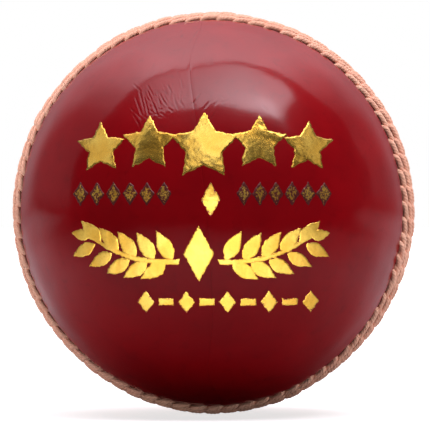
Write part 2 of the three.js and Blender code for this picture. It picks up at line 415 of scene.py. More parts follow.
def hidden_thread():
    m, n = material("hidden_thread")
    p = n.coords()
    cavity_shade = n.attr("cavity_shade")
    fibre = n.noise(p, 4.0, 4, 0.7)
    base = n.mix(n.step(fibre, 0.3, 0.7), (0.62, 0.52, 0.38), (0.80, 0.73, 0.58))
    # painted shade: darker between the plies and on the thread's underside
    base = n.mix(n.step(cavity_shade, 0.4, 1.0), base, (0.22, 0.15, 0.09))
    n.principled(Base_Color=base, Roughness=0.7, Normal=n.bump(fibre, 0.03), Sheen_Weight=0.2)
    return m


def wound_yarn():
    m, n = material("wound_yarn")
    p = n.coords()
    cavity_shade = n.attr("cavity_shade")
    tone = n.attr("tone")
    fluff = n.noise(p, 3.0, 5, 0.7)
    base = n.mix(tone, (0.60, 0.52, 0.40), (0.80, 0.74, 0.62))
    base = n.mix(n.mul(n.step(fluff, 0.45, 0.7), 0.5), base, (0.50, 0.41, 0.30))
    # painted shade: darker where the yarn lies low between strands
    base = n.mix(n.step(cavity_shade, 0.45, 1.0), base, (0.16, 0.11, 0.07))
    n.principled(Base_Color=base, Roughness=0.9, Normal=n.bump(fluff, 0.09), Sheen_Weight=0.5, Sheen_Roughness=0.6)
    return m


def cork(name, light, dark, scale):
    m, n = material(name)
    p = n.coords()
    grain = n.voronoi(p, scale, "F1", "Color")
    sep = n.add("ShaderNodeSeparateColor")
    n.put(sep.inputs[0], grain)
    pit = n.step(n.noise(p, scale * 1.7, 4, 0.7), 0.60, 0.72)
    gap = n.step(n.voronoi(p, scale, "DISTANCE_TO_EDGE"), 0.0, 0.06)
    base = n.mix(sep.outputs[0], light, dark)
    # painted shade: the colour is darkened in the pits and the gaps between grains, which the height below sinks
    base = n.mix(n.mul(pit, 0.8), base, (0.07, 0.035, 0.02))
    base = n.mix(n.mul(n.math("SUBTRACT", 1.0, gap), 0.6), base, (0.12, 0.06, 0.03))
    height = n.sum(n.mul(gap, 0.6), n.mul(pit, -0.8), n.mul(sep.outputs[1], 0.3))
    n.principled(Base_Color=base, Roughness=0.82, Normal=n.bump(height, 0.12), Specular_IOR_Level=0.25)
    return m


LEATHER = red_leather()
THREAD = seam_thread()
FOIL = gold_foil()
LINING = lining_leather()
SEWING = hidden_thread()
YARN = wound_yarn()
CORK = cork("cork_strip", (0.56, 0.36, 0.20), (0.40, 0.22, 0.11), 0.9)
CORE = cork("cork_nucleus", (0.34, 0.20, 0.11), (0.16, 0.09, 0.055), 0.7)

# ---------------------------------------------------------------- the leather's surface, as one height function
LOW = Waves(3, 34, 18)
MID = Waves(5, 11, 24)
SMALL = Waves(7, 4.2, 30)
OUT_OF_ROUND = ((2, 0.018, 0.006), (3, 0.028, 0.124), (4, 0.079, -0.010), (5, 0.020, -0.033))  # lobes of the seam's outline, mm
TURN = {"front": np.diag([1.0, 1.0, 1.0]), "rear": np.diag([1.0, -1.0, -1.0])}  # from a cup's own frame to the ball's


def row_wobble(side, row, theta):
    """How far a stitch row strays from its parallel, in mm towards the pole."""
    k = {"outer": 0.0, "middle": 1.7, "inner": 3.1}[row] + (0 if side == "front" else 2.3)
    size = {"outer": 1.0, "middle": 0.8, "inner": 0.55}[row]
    stray = size * (0.13 * np.sin(2 * theta + k) + 0.08 * np.sin(5 * theta + 2 * k) + 0.05 * np.sin(11 * theta + 3 * k))
    if (side, row) == ("front", "outer"):  # sewn nearer the joint at the top and bottom of the cup
        stray = stray - 0.85 * (1 - np.cos(2 * theta))
    return stray


def ball_shape(p):
    """Slow unevenness of a hand-made ball, in mm; p is a point on the sphere in mm, in the ball's frame."""
    turn = np.arctan2(p[..., 2], p[..., 0])
    rim = np.clip((p[..., 0] ** 2 + p[..., 2] ** 2) / R ** 2, 0, 1) ** 2
    lobes = sum(a * np.cos(k * turn) + b * np.sin(k * turn) for k, a, b in OUT_OF_ROUND)
    return rim * lobes + 0.035 * LOW(p) + 0.026 * MID(p) + 0.003 * SMALL(p)


# Short creases fanning out above the ornament, as (x, z) segments on the front face, with depth and width
def make_creases():
    r = np.random.default_rng(11)
    cx, cz = -2.4, 14.9
    out = []
    for i in range(34):
        b = math.radians(r.choice([r.normal(122, 14), r.normal(138, 13), r.uniform(58, 165)], p=[0.5, 0.28, 0.22]))
        start = r.uniform(3.4, 7.2) if math.degrees(b) > 90 else r.uniform(3.0, 5.4)
        length = r.uniform(1.0, 3.0) if math.degrees(b) > 90 else r.uniform(0.8, 2.0)
        bend = r.normal(0, 0.10)
        out.append((cx + start * math.cos(b), cz + start * math.sin(b),
                    cx + (start + length) * math.cos(b + bend), cz + (start + length) * math.sin(b + bend),
                    r.uniform(0.010, 0.024), r.uniform(0.11, 0.15)))
    # the deepest ones, each as start, reach and depth
    for x, z, dx, dz, depth in (
        (-12.0, 22.7, 1.3, -1.2, 0.045), (-10.8, 21.0, 0.6, -2.4, 0.050), (-10.0, 20.0, 0.6, -2.5, 0.050), (-9.2, 22.3, 0.8, -1.6, 0.040),
        (-9.2, 21.2, 1.2, -3.1, 0.055), (-7.4, 21.0, 0.4, -2.4, 0.050), (-7.0, 20.7, 1.1, -1.9, 0.055), (-5.3, 22.2, 0.7, -1.5, 0.045),
        (-3.6, 25.0, 0.4, -1.2, 0.020), (-2.9, 23.3, 0.2, -1.4, 0.030), (-1.0, 19.0, 1.2, 1.5, 0.060), (0.1, 20.9, 0.7, 0.6, 0.020),
        (0.8, 18.0, 0.9, 1.1, 0.045), (2.7, 18.6, 0.6, 0.8, 0.030), (1.7, 16.2, 0.9, 1.2, 0.035), (-12.6, 18.2, 1.8, -1.7, 0.040),
        (-12.2, 17.2, 0.8, -1.7, 0.040), (-11.6, 16.5, 0.7, -1.8, 0.035), (-5.1, 32.4, 0.6, -1.4, 0.050), (-2.1, 32.5, -0.4, -1.6, 0.035),
        (-2.5, 31.0, -0.4, -3.5, 0.015), (-4.4, 19.9, 0.5, -1.8, 0.040), (-3.4, 19.7, 0.5, -1.2, 0.040), (-11.6, 19.9, 0.9, -2.5, 0.040),
        (-8.4, 18.8, 0.7, -1.6, 0.040), (8.8, 25.4, 2.2, -0.5, 0.012), (12.5, 23.2, 1.6, 0.5, 0.012),
    ):
        out.append((x - 0.15 * dx, z - 0.15 * dz, x + 1.25 * dx, z + 1.25 * dz, depth * 0.62, r.uniform(0.12, 0.16)))
    for i in range(40):  # a mesh of tiny wrinkles where they meet
        x, z, b, l = r.normal(-5.2, 3.2), r.normal(16.9, 1.1), math.radians(r.choice([r.normal(115, 25), r.normal(40, 25)])), r.uniform(0.5, 1.2)
        out.append((x, z, x + l * math.cos(b), z + l * math.sin(b), r.uniform(0.006, 0.013), r.uniform(0.10, 0.13)))
    for i in range(26):  # faint rubbed marks elsewhere
        a, q = r.uniform(0, TAU), 34 * math.sqrt(r.uniform(0.03, 0.8))
        x, z, b, l = q * math.cos(a), q * math.sin(a), r.uniform(0, TAU), r.uniform(0.8, 2.6)
        out.append((x, z, x + l * math.cos(b), z + l * math.sin(b), r.uniform(0.005, 0.014), r.uniform(0.12, 0.2)))
    return out


CREASES = make_creases()


def crease_height(x, z):
    """Height in mm of the creases at points of the front face."""
    h = np.zeros_like(x)
    for x0, z0, x1, z1, depth, width in CREASES:
        dx, dz = x1 - x0, z1 - z0
        length = math.hypot(dx, dz)
        near = (np.abs(x - (x0 + x1) / 2) < length / 2 + 1.0) & (np.abs(z - (z0 + z1) / 2) < length / 2 + 1.0)
        if not near.any():
            continue
        px, pz = x[near] - x0, z[near] - z0
        t = (px * dx + pz * dz) / length
        s = (px * dz - pz * dx) / length
        taper = smooth(t, -0.25, 0.5) * (1 - smooth(t, length - 0.8, length + 0.2))
        h[near] += taper * depth * (-bell(s, width) + 0.5 * bell(np.abs(s) - 2.1 * width, 1.3 * width))
    return h


def leather_height(side, unit, cut_distance):
    """(height, dip, crease) over the nominal sphere, for unit directions in the cup's own frame (pole on -Y)."""
    world = unit @ TURN[side].T * R
    theta = np.arctan2(unit[:, 2], unit[:, 0])
    lat = np.arcsin(np.clip(-unit[:, 1], -1, 1))
    arc = lat * R
    h = ball_shape(world)
    # dip marks the stitch grooves, the thread holes and the joints: there the leather is duller, and its colour is
    # darkened as painted shade
    dip = np.zeros(len(unit))
    k = theta / PITCH
    for row, y in ROWS.items():
        d = arc - math.asin(y / R) * R - row_wobble(side, row, theta)
        hole = 0.5 + 0.5 * np.cos(TAU * (k - 0.5 + 0.04))  # 1 where the thread goes down
        trough = np.exp(-np.abs(d / 1.02) ** 4.5)
        h -= 0.40 * trough
        lip = bell(np.abs(d) - 1.42, 0.36)
        h += 0.050 * lip * (0.55 + 0.45 * (1 - hole)) - 0.03 * lip * hole
        for across, along in ((0.66, -0.10), (-0.66, 0.10)):  # the two threads' mouths: pole side, seam side
            phase = (k - 0.5 + along) - np.round(k - 0.5 + along)
            mouth = np.exp(-((d - across) / 0.42) ** 2 - (phase * PITCH * R / 0.46) ** 2)
            h -= 0.20 * mouth
            dip = np.maximum(dip, 0.9 * mouth)
        dip = np.maximum(dip, np.exp(-np.abs(d / 1.24) ** 6) * 0.9)
        dip = np.maximum(dip, 0.15 * bell(d, 1.5))
    # leather rises a little across the whole seam band, and falls to the joint between the cups
    h += 0.07 * (1 - smooth(arc, 10.2, 13.0))
    h -= 0.16 * bell(arc, 0.45)
    dip = np.maximum(dip, 0.85 * bell(arc, 0.22))
    # the butted quarter seam
    h -= 0.024 * bell(cut_distance, 0.13) + 0.014 * bell(cut_distance, 0.9)
    h += 0.010 * bell(cut_distance - 0.62, 0.28)
    dip = np.maximum(dip, 0.14 * bell(cut_distance, 0.10))
    crease = np.zeros(len(unit))
    if side == "front":
        face = world[:, 1] < -8
        c = np.zeros(len(unit))
        c[face] = crease_height(world[face, 0], world[face, 2])
        h += c
        # crease: how deep each crease is, used to paint shade into it
        crease = np.clip(-c / 0.04, 0, 1)
    else:
        h += 0.006 * Waves(21, 1.9)(world) * smooth(Waves(22, 16)(world), 0.2, 1.4)
    return h, dip, crease


def quarter_warp(side, p):
    """The quarter seam strays from its plane: moves points of a cup sideways, away from the stitched band."""
    lat = np.arcsin(np.clip(-p[:, 1] / np.linalg.norm(p, axis=1), -1, 1))
    far = smooth(np.degrees(lat), 20, 38)
    if side == "front":
        z = p[:, 2]
        knots = np.linspace(-38, 38, 77)
        line = np.interp(knots, [-36, -28, -22.9, -19, -10, 0, 12, 20, 25.2, 28, 33.7, 36],
                         [-1.4, -1.8, -0.7, 0.15, 0.4, 0.2, -0.6, -1.4, -2.1, -1.6, -0.6, -0.2])
        kernel = bell(np.arange(-6, 7), 2.6)
        line = np.convolve(np.pad(line, 6, mode="edge"), kernel / kernel.sum(), mode="valid")
        shift = np.interp(z, knots, line)
        axis = np.array([1.0, 0, 0])
        across = p[:, 0]
    else:
        shift = 0.9 * np.sin(p[:, 0] / 9.0 + 0.6) + 0.5 * np.sin(p[:, 0] / 4.4)
        axis = np.array([0, 0, 1.0])
        across = p[:, 2]
    amount = shift * far * np.exp(-((across / 20.0) ** 2))
    radius = np.linalg.norm(p, axis=1)
    q = p + amount[:, None] * axis
    return q * (radius / np.linalg.norm(q, axis=1))[:, None]


# ---------------------------------------------------------------- leather quarters
END_STEPS = np.array([0, 0.06, 0.13, 0.22, 0.34, 0.5, 0.72, 1.0, 1.35])
GAP = 0.005


def ring_params(radius, count, dense=None):
    """Positions 0..1 across a half turn of a ring: crowded at both ends, where the quarter seam is."""
    length = math.pi * radius
    ends = END_STEPS / length
    if length < 8:
        return np.linspace(0, 1, max(2, count) + 1)
    if dense is None:
        middle = np.linspace(ends[-1], 1 - ends[-1], count + 1)[1:-1]
    else:
        lo, hi, k = dense
        grid = np.linspace(0, 1, 4000)
        weight = 1 + (k - 1) * smooth(grid, lo - 0.02, lo) * (1 - smooth(grid, hi, hi + 0.02))
        cum = np.concatenate([[0], np.cumsum((weight[1:] + weight[:-1]) / 2)])
        cum = cum / cum[-1]
        a, b = np.interp([ends[-1], 1 - ends[-1]], grid, cum)
        middle = np.interp(np.linspace(a, b, count + 1)[1:-1], cum, grid)
    return np.concatenate([ends, middle, 1 - ends[::-1]])


def build_quarter(name, side, theta0, dense_span=None):
    lip = 0.28
    # outer profile, as (latitude, radius offset): round the lip at the joint, then over the outside to the pole
    levels = []
    for a in (0, 22, 45, 67):
        y = 0.05 + lip * (1 - math.cos(math.radians(a)))
        r = R - lip + lip * math.sin(math.radians(a))
        levels.append((math.asin(y / R), r - R, 0))
    arcs = [0.36]
    row_arcs = [math.asin(y / R) * R for y in ROWS.values()]
    while arcs[-1] < R * math.pi / 2 - 0.5:
        a = arcs[-1]
        near = min(abs(a - q) for q in row_arcs)
        if a < 11.2:
            step = 0.16 if near < 1.45 or side == "front" else 0.26
        elif dense_span and 24.5 < a < 41.5:
            step = 0.19
        else:
            step = 0.36
        arcs.append(a + step)
    for a in arcs:
        levels.append((a / R, 0.0, 0))
    params, verts_unit, offsets, rings = [], [], [], []
    index = 0
    count = None
    for lat, off, _ in levels:
        a = lat * R
        radius = R * math.cos(lat)
        in_dense = dense_span is not None and 24.5 < a < 41.5
        if a < 11.2:
            want, dense = 38 * 11, None
        elif in_dense:
            lo, hi = dense_span
            want = int(math.pi * radius / 0.36 * (1 + (hi - lo) * 0.9))
            want, dense = int(round(want / 40) * 40), (lo, hi, 1.9)
        else:
            want, dense = max(3, int(math.pi * radius / 0.37)), None
        key = (dense is not None)
        if count is None or key != count[1] or want < count[0] * 0.86 or want > count[0] * 1.1:
            count = (want, key)
        t = ring_params(radius, count[0], dense)
        th = theta0 + math.pi * t
        u = np.stack([math.cos(lat) * np.cos(th), np.full(len(t), -math.sin(lat)), math.cos(lat) * np.sin(th)], 1)
        params.append(t)
        verts_unit.append(u)
        offsets.append(np.full(len(t), off))
        rings.append(np.arange(index, index + len(t)))
        index += len(t)
    verts_unit.append(np.array([[0, -1.0, 0]]))
    offsets.append(np.zeros(1))
    pole = index
    index += 1
    unit = np.concatenate(verts_unit)
    off = np.concatenate(offsets)
    # distance from the plane of the quarter seam
    n0 = np.array([-math.sin(theta0), 0, math.cos(theta0)])
    cut = np.maximum(unit @ n0 * R, 0)
    h, dip, crease = leather_height(side, unit, cut)
    outer = unit * (R + h + off)[:, None]
    outer = quarter_warp(side, outer)
    outer += n0 * (GAP * bell(cut, 0.45))[:, None]
    outer[:, 1] = np.minimum(outer[:, 1], -0.03)
    quads, tris = [], []
    for k in range(len(rings) - 1):
        a, b = rings[k], rings[k + 1]
        if len(a) == len(b):
            quads.append(np.stack([a[:-1], a[1:], b[1:], b[:-1]], 1))
        else:
            tris += stitch(params[k], params[k + 1], a, b)
    last = rings[-1]
    tris += [(last[i], last[i + 1], pole) for i in range(len(last) - 1)]

    # inner skin, coarser, with the channel for the sewing along the cut
    in_levels = [math.asin(0.05 / R_IN)] + list(np.radians(np.linspace(4, 86, 26)))
    in_params, in_units, in_rings = [], [], []
    steps = np.array([0, 0.8, 1.55, 1.95, 2.6])
    for lat in in_levels:
        radius = R_IN * math.cos(lat)
        length = math.pi * radius
        if length > 12:
            cnt = 56
            t = np.concatenate([steps / length, np.linspace(steps[-1], length - steps[-1], cnt)[1:-1] / length, 1 - steps[::-1] / length])
        else:
            t = np.linspace(0, 1, 13)
        th = theta0 + math.pi * t
        in_units.append(np.stack([math.cos(lat) * np.cos(th), np.full(len(t), -math.sin(lat)), math.cos(lat) * np.sin(th)], 1))
        in_params.append(t)
        in_rings.append(np.arange(index, index + len(t)))
        index += len(t)
    in_units.append(np.array([[0, -1.0, 0]]))
    in_pole = index
    iu = np.concatenate(in_units)
    icut = np.maximum(iu @ n0 * R_IN, 0)
    ilat = np.degrees(np.arcsin(-iu[:, 1]))
    depth = 1.28 * (1 - smooth(icut, 1.6, 1.95)) * smooth(ilat, 20.5, 22.5)
    inner = iu * (R_IN + depth)[:, None]
    inner = quarter_warp(side, inner)
    inner += n0 * (GAP * bell(icut, 0.45))[:, None]
    inner[:, 1] = np.minimum(inner[:, 1], -0.03)
    for k in range(len(in_rings) - 1):
        a, b = in_rings[k], in_rings[k + 1]
        if len(a) == len(b):
            quads.append(np.stack([b[:-1], b[1:], a[1:], a[:-1]], 1))
        else:
            tris += [t[::-1] for t in stitch(in_params[k], in_params[k + 1], a, b)]
    last_in = in_rings[-1]
    tris += [(last_in[i + 1], last_in[i], in_pole) for i in range(len(last_in) - 1)]
    # walls: along the joint, and up both sides of the quarter seam
    tris += stitch(in_params[0], params[0], in_rings[0], rings[0])
    lat_out = [lv[0] for lv in levels] + [math.pi / 2]
    lat_in = in_levels + [math.pi / 2]
    tris += stitch(lat_in, lat_out, [r[-1] for r in in_rings] + [in_pole], [r[-1] for r in rings] + [pole])
    tris += [t[::-1] for t in stitch(lat_in, lat_out, [r[0] for r in in_rings] + [in_pole], [r[0] for r in rings] + [pole])]
    verts = np.concatenate([outer, inner]) @ TURN[side].T
    zeros = np.zeros(len(inner))
    # the skin faces out; walls were ordered to agree with it
    # the inner skin gets dip 0.6, which dulls it and darkens its colour as painted shade inside the cover
    ob = mesh_object(name, verts, np.concatenate(quads), tris,
                     {"dip": np.concatenate([dip, zeros + 0.6]), "crease": np.concatenate([crease, zeros])}, [LEATHER])
    ob.data.set_sharp_from_angle(angle=math.radians(55))  # the cut edges are crisp, the skin is smooth
    return ob


def build_leather():
    tilt = QUARTER_TILT
    jobs = (
        ("front_right_quarter", "front", -math.pi / 2 + tilt, (0.70, 1.0)),
        ("front_left_quarter", "front", math.pi / 2 + tilt, (0.0, 0.42)),
        ("rear_lower_quarter", "rear", -tilt, None),
        ("rear_upper_quarter", "rear", math.pi - tilt, None),
    )
    for node, side, theta0, dense in jobs:
        ob = build_quarter("leather_" + node, side, theta0, dense)
        place(ob.name, ob, "red_leather", node)


# ---------------------------------------------------------------- twisted thread
def twisted_tube(path, up, half_w, half_h, plies, pitch, phase, around, lobe=0.16, squash=None):
    """A closed tube along a path of points, twisted from plies. The mesh lines follow the plies.
    Returns vertices, quads, triangles, and the attributes cav, ply and along."""
    n = len(path)
    tangent = np.gradient(path, axis=0)
    tangent /= np.linalg.norm(tangent, axis=1)[:, None]
    side = np.cross(tangent, up)
    side /= np.linalg.norm(side, axis=1)[:, None]
    top = np.cross(side, tangent)
    s = np.concatenate([[0], np.cumsum(np.linalg.norm(np.diff(path, axis=0), axis=1))])
    j = np.arange(around)
    local = TAU * j / around  # angle in the twisting frame
    in_ply = (local * plies / TAU) % 1.0
    bulge = np.sqrt(np.maximum(0, 1 - (2 * in_ply - 1) ** 2)) ** 0.9  # 0 between plies, 1 on a ply's crown
    ang = local[None, :] + TAU * s[:, None] / pitch + phase
    rad = (1 - lobe + lobe * bulge)[None, :]
    x = np.cos(ang) * rad * np.asarray(half_w)[:, None]
    y = np.sin(ang) * rad * np.asarray(half_h)[:, None]
    ring = path[:, None, :] + x[..., None] * side[:, None, :] + y[..., None] * top[:, None, :]
    verts = ring.reshape(-1, 3)
    i = np.arange(n - 1)[:, None] * around
    jj = j[None, :]
    jn = (j[None, :] + 1) % around
    quads = np.stack([i + jj, i + jn, i + around + jn, i + around + jj], -1).reshape(-1, 4)
    tris = []
    first, last = len(verts), len(verts) + 1
    verts = np.concatenate([verts, path[:1], path[-1:]])
    for a in range(around):
        b = (a + 1) % around
        tris.append((b, a, first))
        tris.append(((n - 1) * around + a, (n - 1) * around + b, last))
    # painted shade for the colour: dark between the plies and on the side facing down to the leather
    under = np.clip(-np.sin(ang) * 0.9, 0, 1)
    cavity_shade = np.clip((1 - bulge)[None, :] ** 1.3 * 0.75 + under * 0.55, 0, 1).ravel()
    ply = np.repeat((local * plies / TAU)[None, :], n, 0).ravel()
    along = np.repeat(s[:, None], around, 1).ravel()
    pad = lambda v, a, b: np.concatenate([v, [a, b]])
    return verts, quads, tris, pad(cavity_shade, 1, 1), pad(ply, 0, 0), pad(along, s[0], s[-1])


def join(parts):
    """Joins lists of (verts, quads, tris, *attributes)."""
    base, vs, qs, ts, cols = 0, [], [], [], None
    for part in parts:
        v, q, t = part[:3]
        vs.append(v)
        qs.append(np.asarray(q, int).reshape(-1, 4) + base)
        ts.append(np.asarray(t, int).reshape(-1, 3) + base)
        cols = [[c] for c in part[3:]] if cols is None else [a + [c] for a, c in zip(cols, part[3:])]
        base += len(v)
    return [np.concatenate(vs), np.concatenate(qs), np.concatenate(ts)] + [np.concatenate(c) for c in cols]


def surface_at(side, theta, lat):
    """Height of the uneven ball at points of a cup, without its grooves."""
    u = np.stack([np.cos(lat) * np.cos(theta), -np.sin(lat), np.cos(lat) * np.sin(theta)], -1)
    return ball_shape(u @ TURN[side].T * R)


def stitch_row(side, row):
    seed = {"outer": 1, "middle": 2, "inner": 3}[row] + (0 if side == "front" else 10)
    r = np.random.default_rng(500 + seed)
    lat0 = math.asin(ROWS[row] / R)
    arc_pitch = PITCH * R * math.cos(lat0)
    parts = []
    n, around = 27, 30
    t = np.linspace(0, 1, n)
    # crowd the samples where the thread turns down into its holes
    t = 0.5 - 0.5 * np.cos(math.pi * t) * (0.55 + 0.45 * np.abs(np.cos(math.pi * t)))
    t = (t - t[0]) / (t[-1] - t[0])
    crest = R_CREST - R
    jobs = []
    for k in range(STITCHES):
        jobs.append(dict(k=k, grow=1.0, extra=0.0, slant=1.0, lift=0.0, lat=0.0))
    if (side, row) == ("front", "outer"):
        for job in jobs:
            deg = (job["k"] * 360 / STITCHES) % 360
            if 92 < deg < 104:  # where one length of thread ends and the next begins
                job.update(grow=0.84, slant=1.5, lift=-0.08)
            if 83 < deg < 92:
                job.update(grow=1.04, slant=0.55, lift=0.04)
            if 338 < deg < 352:
                job.update(grow=1.12, lift=0.10)
        for k in (71.6, 72.55, 73.4):  # overlapping stitches that lock the thread's end
            jobs.append(dict(k=k, grow=0.92, extra=0.2, slant=1.9, lift=0.16, lat=-0.30))
    if (side, row) == ("front", "middle"):
        for k in (72.4, 73.5):
            jobs.append(dict(k=k, grow=0.9, extra=0.3, slant=-1.2, lift=0.10, lat=0.2))
    if (side, row) == ("rear", "outer"):
        for k in (11.5, 12.4):
            jobs.append(dict(k=k, grow=0.92, extra=0.2, slant=1.9, lift=0.12, lat=-0.30))
    for job in jobs:
        size = job["grow"] * r.normal(1.0, 0.045)
        length = arc_pitch * (1.0 + job["extra"]) + 0.95 + r.normal(0, 0.08)
        centre = job["k"] * PITCH + r.normal(0, 0.035) * PITCH
        half = length / 2
        a = (2 * t - 1)
        s = a * half  # along the seam
        slant = (0.54 + r.normal(0, 0.06)) * job["slant"]
        across = slant * np.clip(a * 1.18, -1, 1) + 0.05 * r.normal() - job["lat"]  # towards the pole as the thread goes on
        rise = 1 - np.abs(a) ** 4.6  # up, over and down
        top = crest - 0.50 * size + job["lift"] + r.normal(0, 0.045)
        height = -1.00 + (top + 1.00) * np.clip(rise, 0, 1) ** 0.62
        theta = centre + s / (R * math.cos(lat0))
        lat = lat0 + (across + row_wobble(side, row, theta)) / R
        radius = R + height + surface_at(side, theta, lat)
        path = np.stack([radius * np.cos(lat) * np.cos(theta), -radius * np.sin(lat), radius * np.cos(lat) * np.sin(theta)], 1)
        up = path / np.linalg.norm(path, axis=1)[:, None]
        end = 1 - 0.20 * np.abs(a) ** 4
        half_w = 0.53 * size * end
        half_h = 0.50 * size * end
        v, q, tr, cavity_shade, ply, along = twisted_tube(path, up, half_w, half_h, 4, 2.75 + r.normal(0, 0.12), r.uniform(0, TAU), around, lobe=0.24)
        # painted shade: the thread darkens where it sinks below the leather
        sunk = 1 - smooth(np.linalg.norm(v, axis=1) - R, -0.42, 0.12)
        cavity_shade = np.clip(np.maximum(cavity_shade, sunk), 0, 1)
        parts.append((v @ TURN[side].T, q, tr, cavity_shade, ply, along, np.full(len(v), r.uniform(0, 1))))
    if (side, row) == ("front", "outer"):
        parts += loose_fibres(side, r, lat0, 7, 344.0, 5.0) + loose_fibres(side, r, lat0, 3, 95.0, 3.0)
    v, q, tr, cavity_shade, ply, along, var = join(parts)
    ob = mesh_object(f"stitches_{side}_{row}", v, q, tr, {"cavity_shade": cavity_shade, "ply": ply, "along": along, "var": var}, [THREAD])
    place(ob.name, ob, "seam_thread", f"{side}_{row}_stitch_row")
    return ob


def loose_fibres(side, r, lat0, count, centre_deg, spread):
    """Short frayed ends lying on the leather beside the row."""
    parts = []
    for _ in range(count):
        th = math.radians(centre_deg + r.normal(0, spread * 0.5))
        n = 12
        t = np.linspace(0, 1, n)
        length = r.uniform(0.7, 1.7)
        heading = r.uniform(-0.9, 0.9)
        curl = r.normal(0, 0.8)
        ang = heading + curl * t
        s = np.cumsum(np.cos(ang)) * length / n
        w = 0.55 + np.cumsum(np.abs(np.sin(ang)) + 0.15) * length / n
        theta = th + s / R
        lat = lat0 + w / R
        lift = 0.02 + 0.16 * np.sin(math.pi * t) * r.uniform(0.3, 1)
        radius = R + lift + surface_at(side, theta, lat) + 0.03
        radius[0] -= 0.25
        path = np.stack([radius * np.cos(lat) * np.cos(theta), -radius * np.sin(lat), radius * np.cos(lat) * np.sin(theta)], 1)
        up = path / np.linalg.norm(path, axis=1)[:, None]
        thick = r.uniform(0.035, 0.075) * (1 - 0.6 * t)
        v, q, tr, cavity_shade, ply, along = twisted_tube(path, up, thick, thick, 2, 1.2, 0, 8, lobe=0.1)
        parts.append((v @ TURN[side].T, q, tr, cavity_shade * 0.3, ply, along, np.full(len(v), r.uniform(0, 1))))
    return parts


# ---------------------------------------------------------------- gold foil ornament, generic shapes only
def star(cx, cz, r_out, r_in, turn=90.0, points=5):
    out = []
    for i in range(points * 2):
        a = math.radians(turn) + math.pi * i / points
        q = r_out if i % 2 == 0 else r_in
        out.append((cx + q * math.cos(a), cz + q * math.sin(a)))
    return out


def diamond(cx, cz, w, h):
    return [(cx + w, cz), (cx, cz + h), (cx - w, cz), (cx, cz - h)]


def leaf(x, z, length, width, angle):
    """A pointed leaf from its stalk at (x, z)."""
    out = []
    n = 14
    for sgn in (1, -1):
        for i in range(n):
            t = i / n if sgn > 0 else 1 - i / n
            w = sgn * width * math.sin(math.pi * t ** 0.85) * (1 - 0.15 * t)
            out.append((length * t, w))
    c, s = math.cos(angle), math.sin(angle)
    return [(x + c * a - s * b, z + s * a + c * b) for a, b in out]


def bar(x0, z0, x1, z1, w0, w1=None, steps=24, bow=0.0):
    """A ribbon from one point to another, with half widths w0 and w1, bowed sideways."""
    w1 = w0 if w1 is None else w1
    dx, dz = x1 - x0, z1 - z0
    l = math.hypot(dx, dz)
    nx, nz = -dz / l, dx / l
    left, right = [], []
    for i in range(steps + 1):
        t = i / steps
        b = bow * math.sin(math.pi * t)
        w = w0 + (w1 - w0) * t
        x, z = x0 + dx * t + nx * b, z0 + dz * t + nz * b
        left.append((x + nx * w, z + nz * w))
        right.append((x - nx * w, z - nz * w))
    return left + right[::-1]


def disc(cx, cz, r, n=22):
    return [(cx + r * math.cos(TAU * i / n), cz + r * math.sin(TAU * i / n)) for i in range(n)]


def resample(outline, step):
    pts = np.array(outline + [outline[0]], float)
    out = []
    for a, b in zip(pts[:-1], pts[1:]):
        k = max(1, int(math.ceil(np.linalg.norm(b - a) / step)))
        for i in range(k):
            out.append(a + (b - a) * i / k)
    return np.array(out)


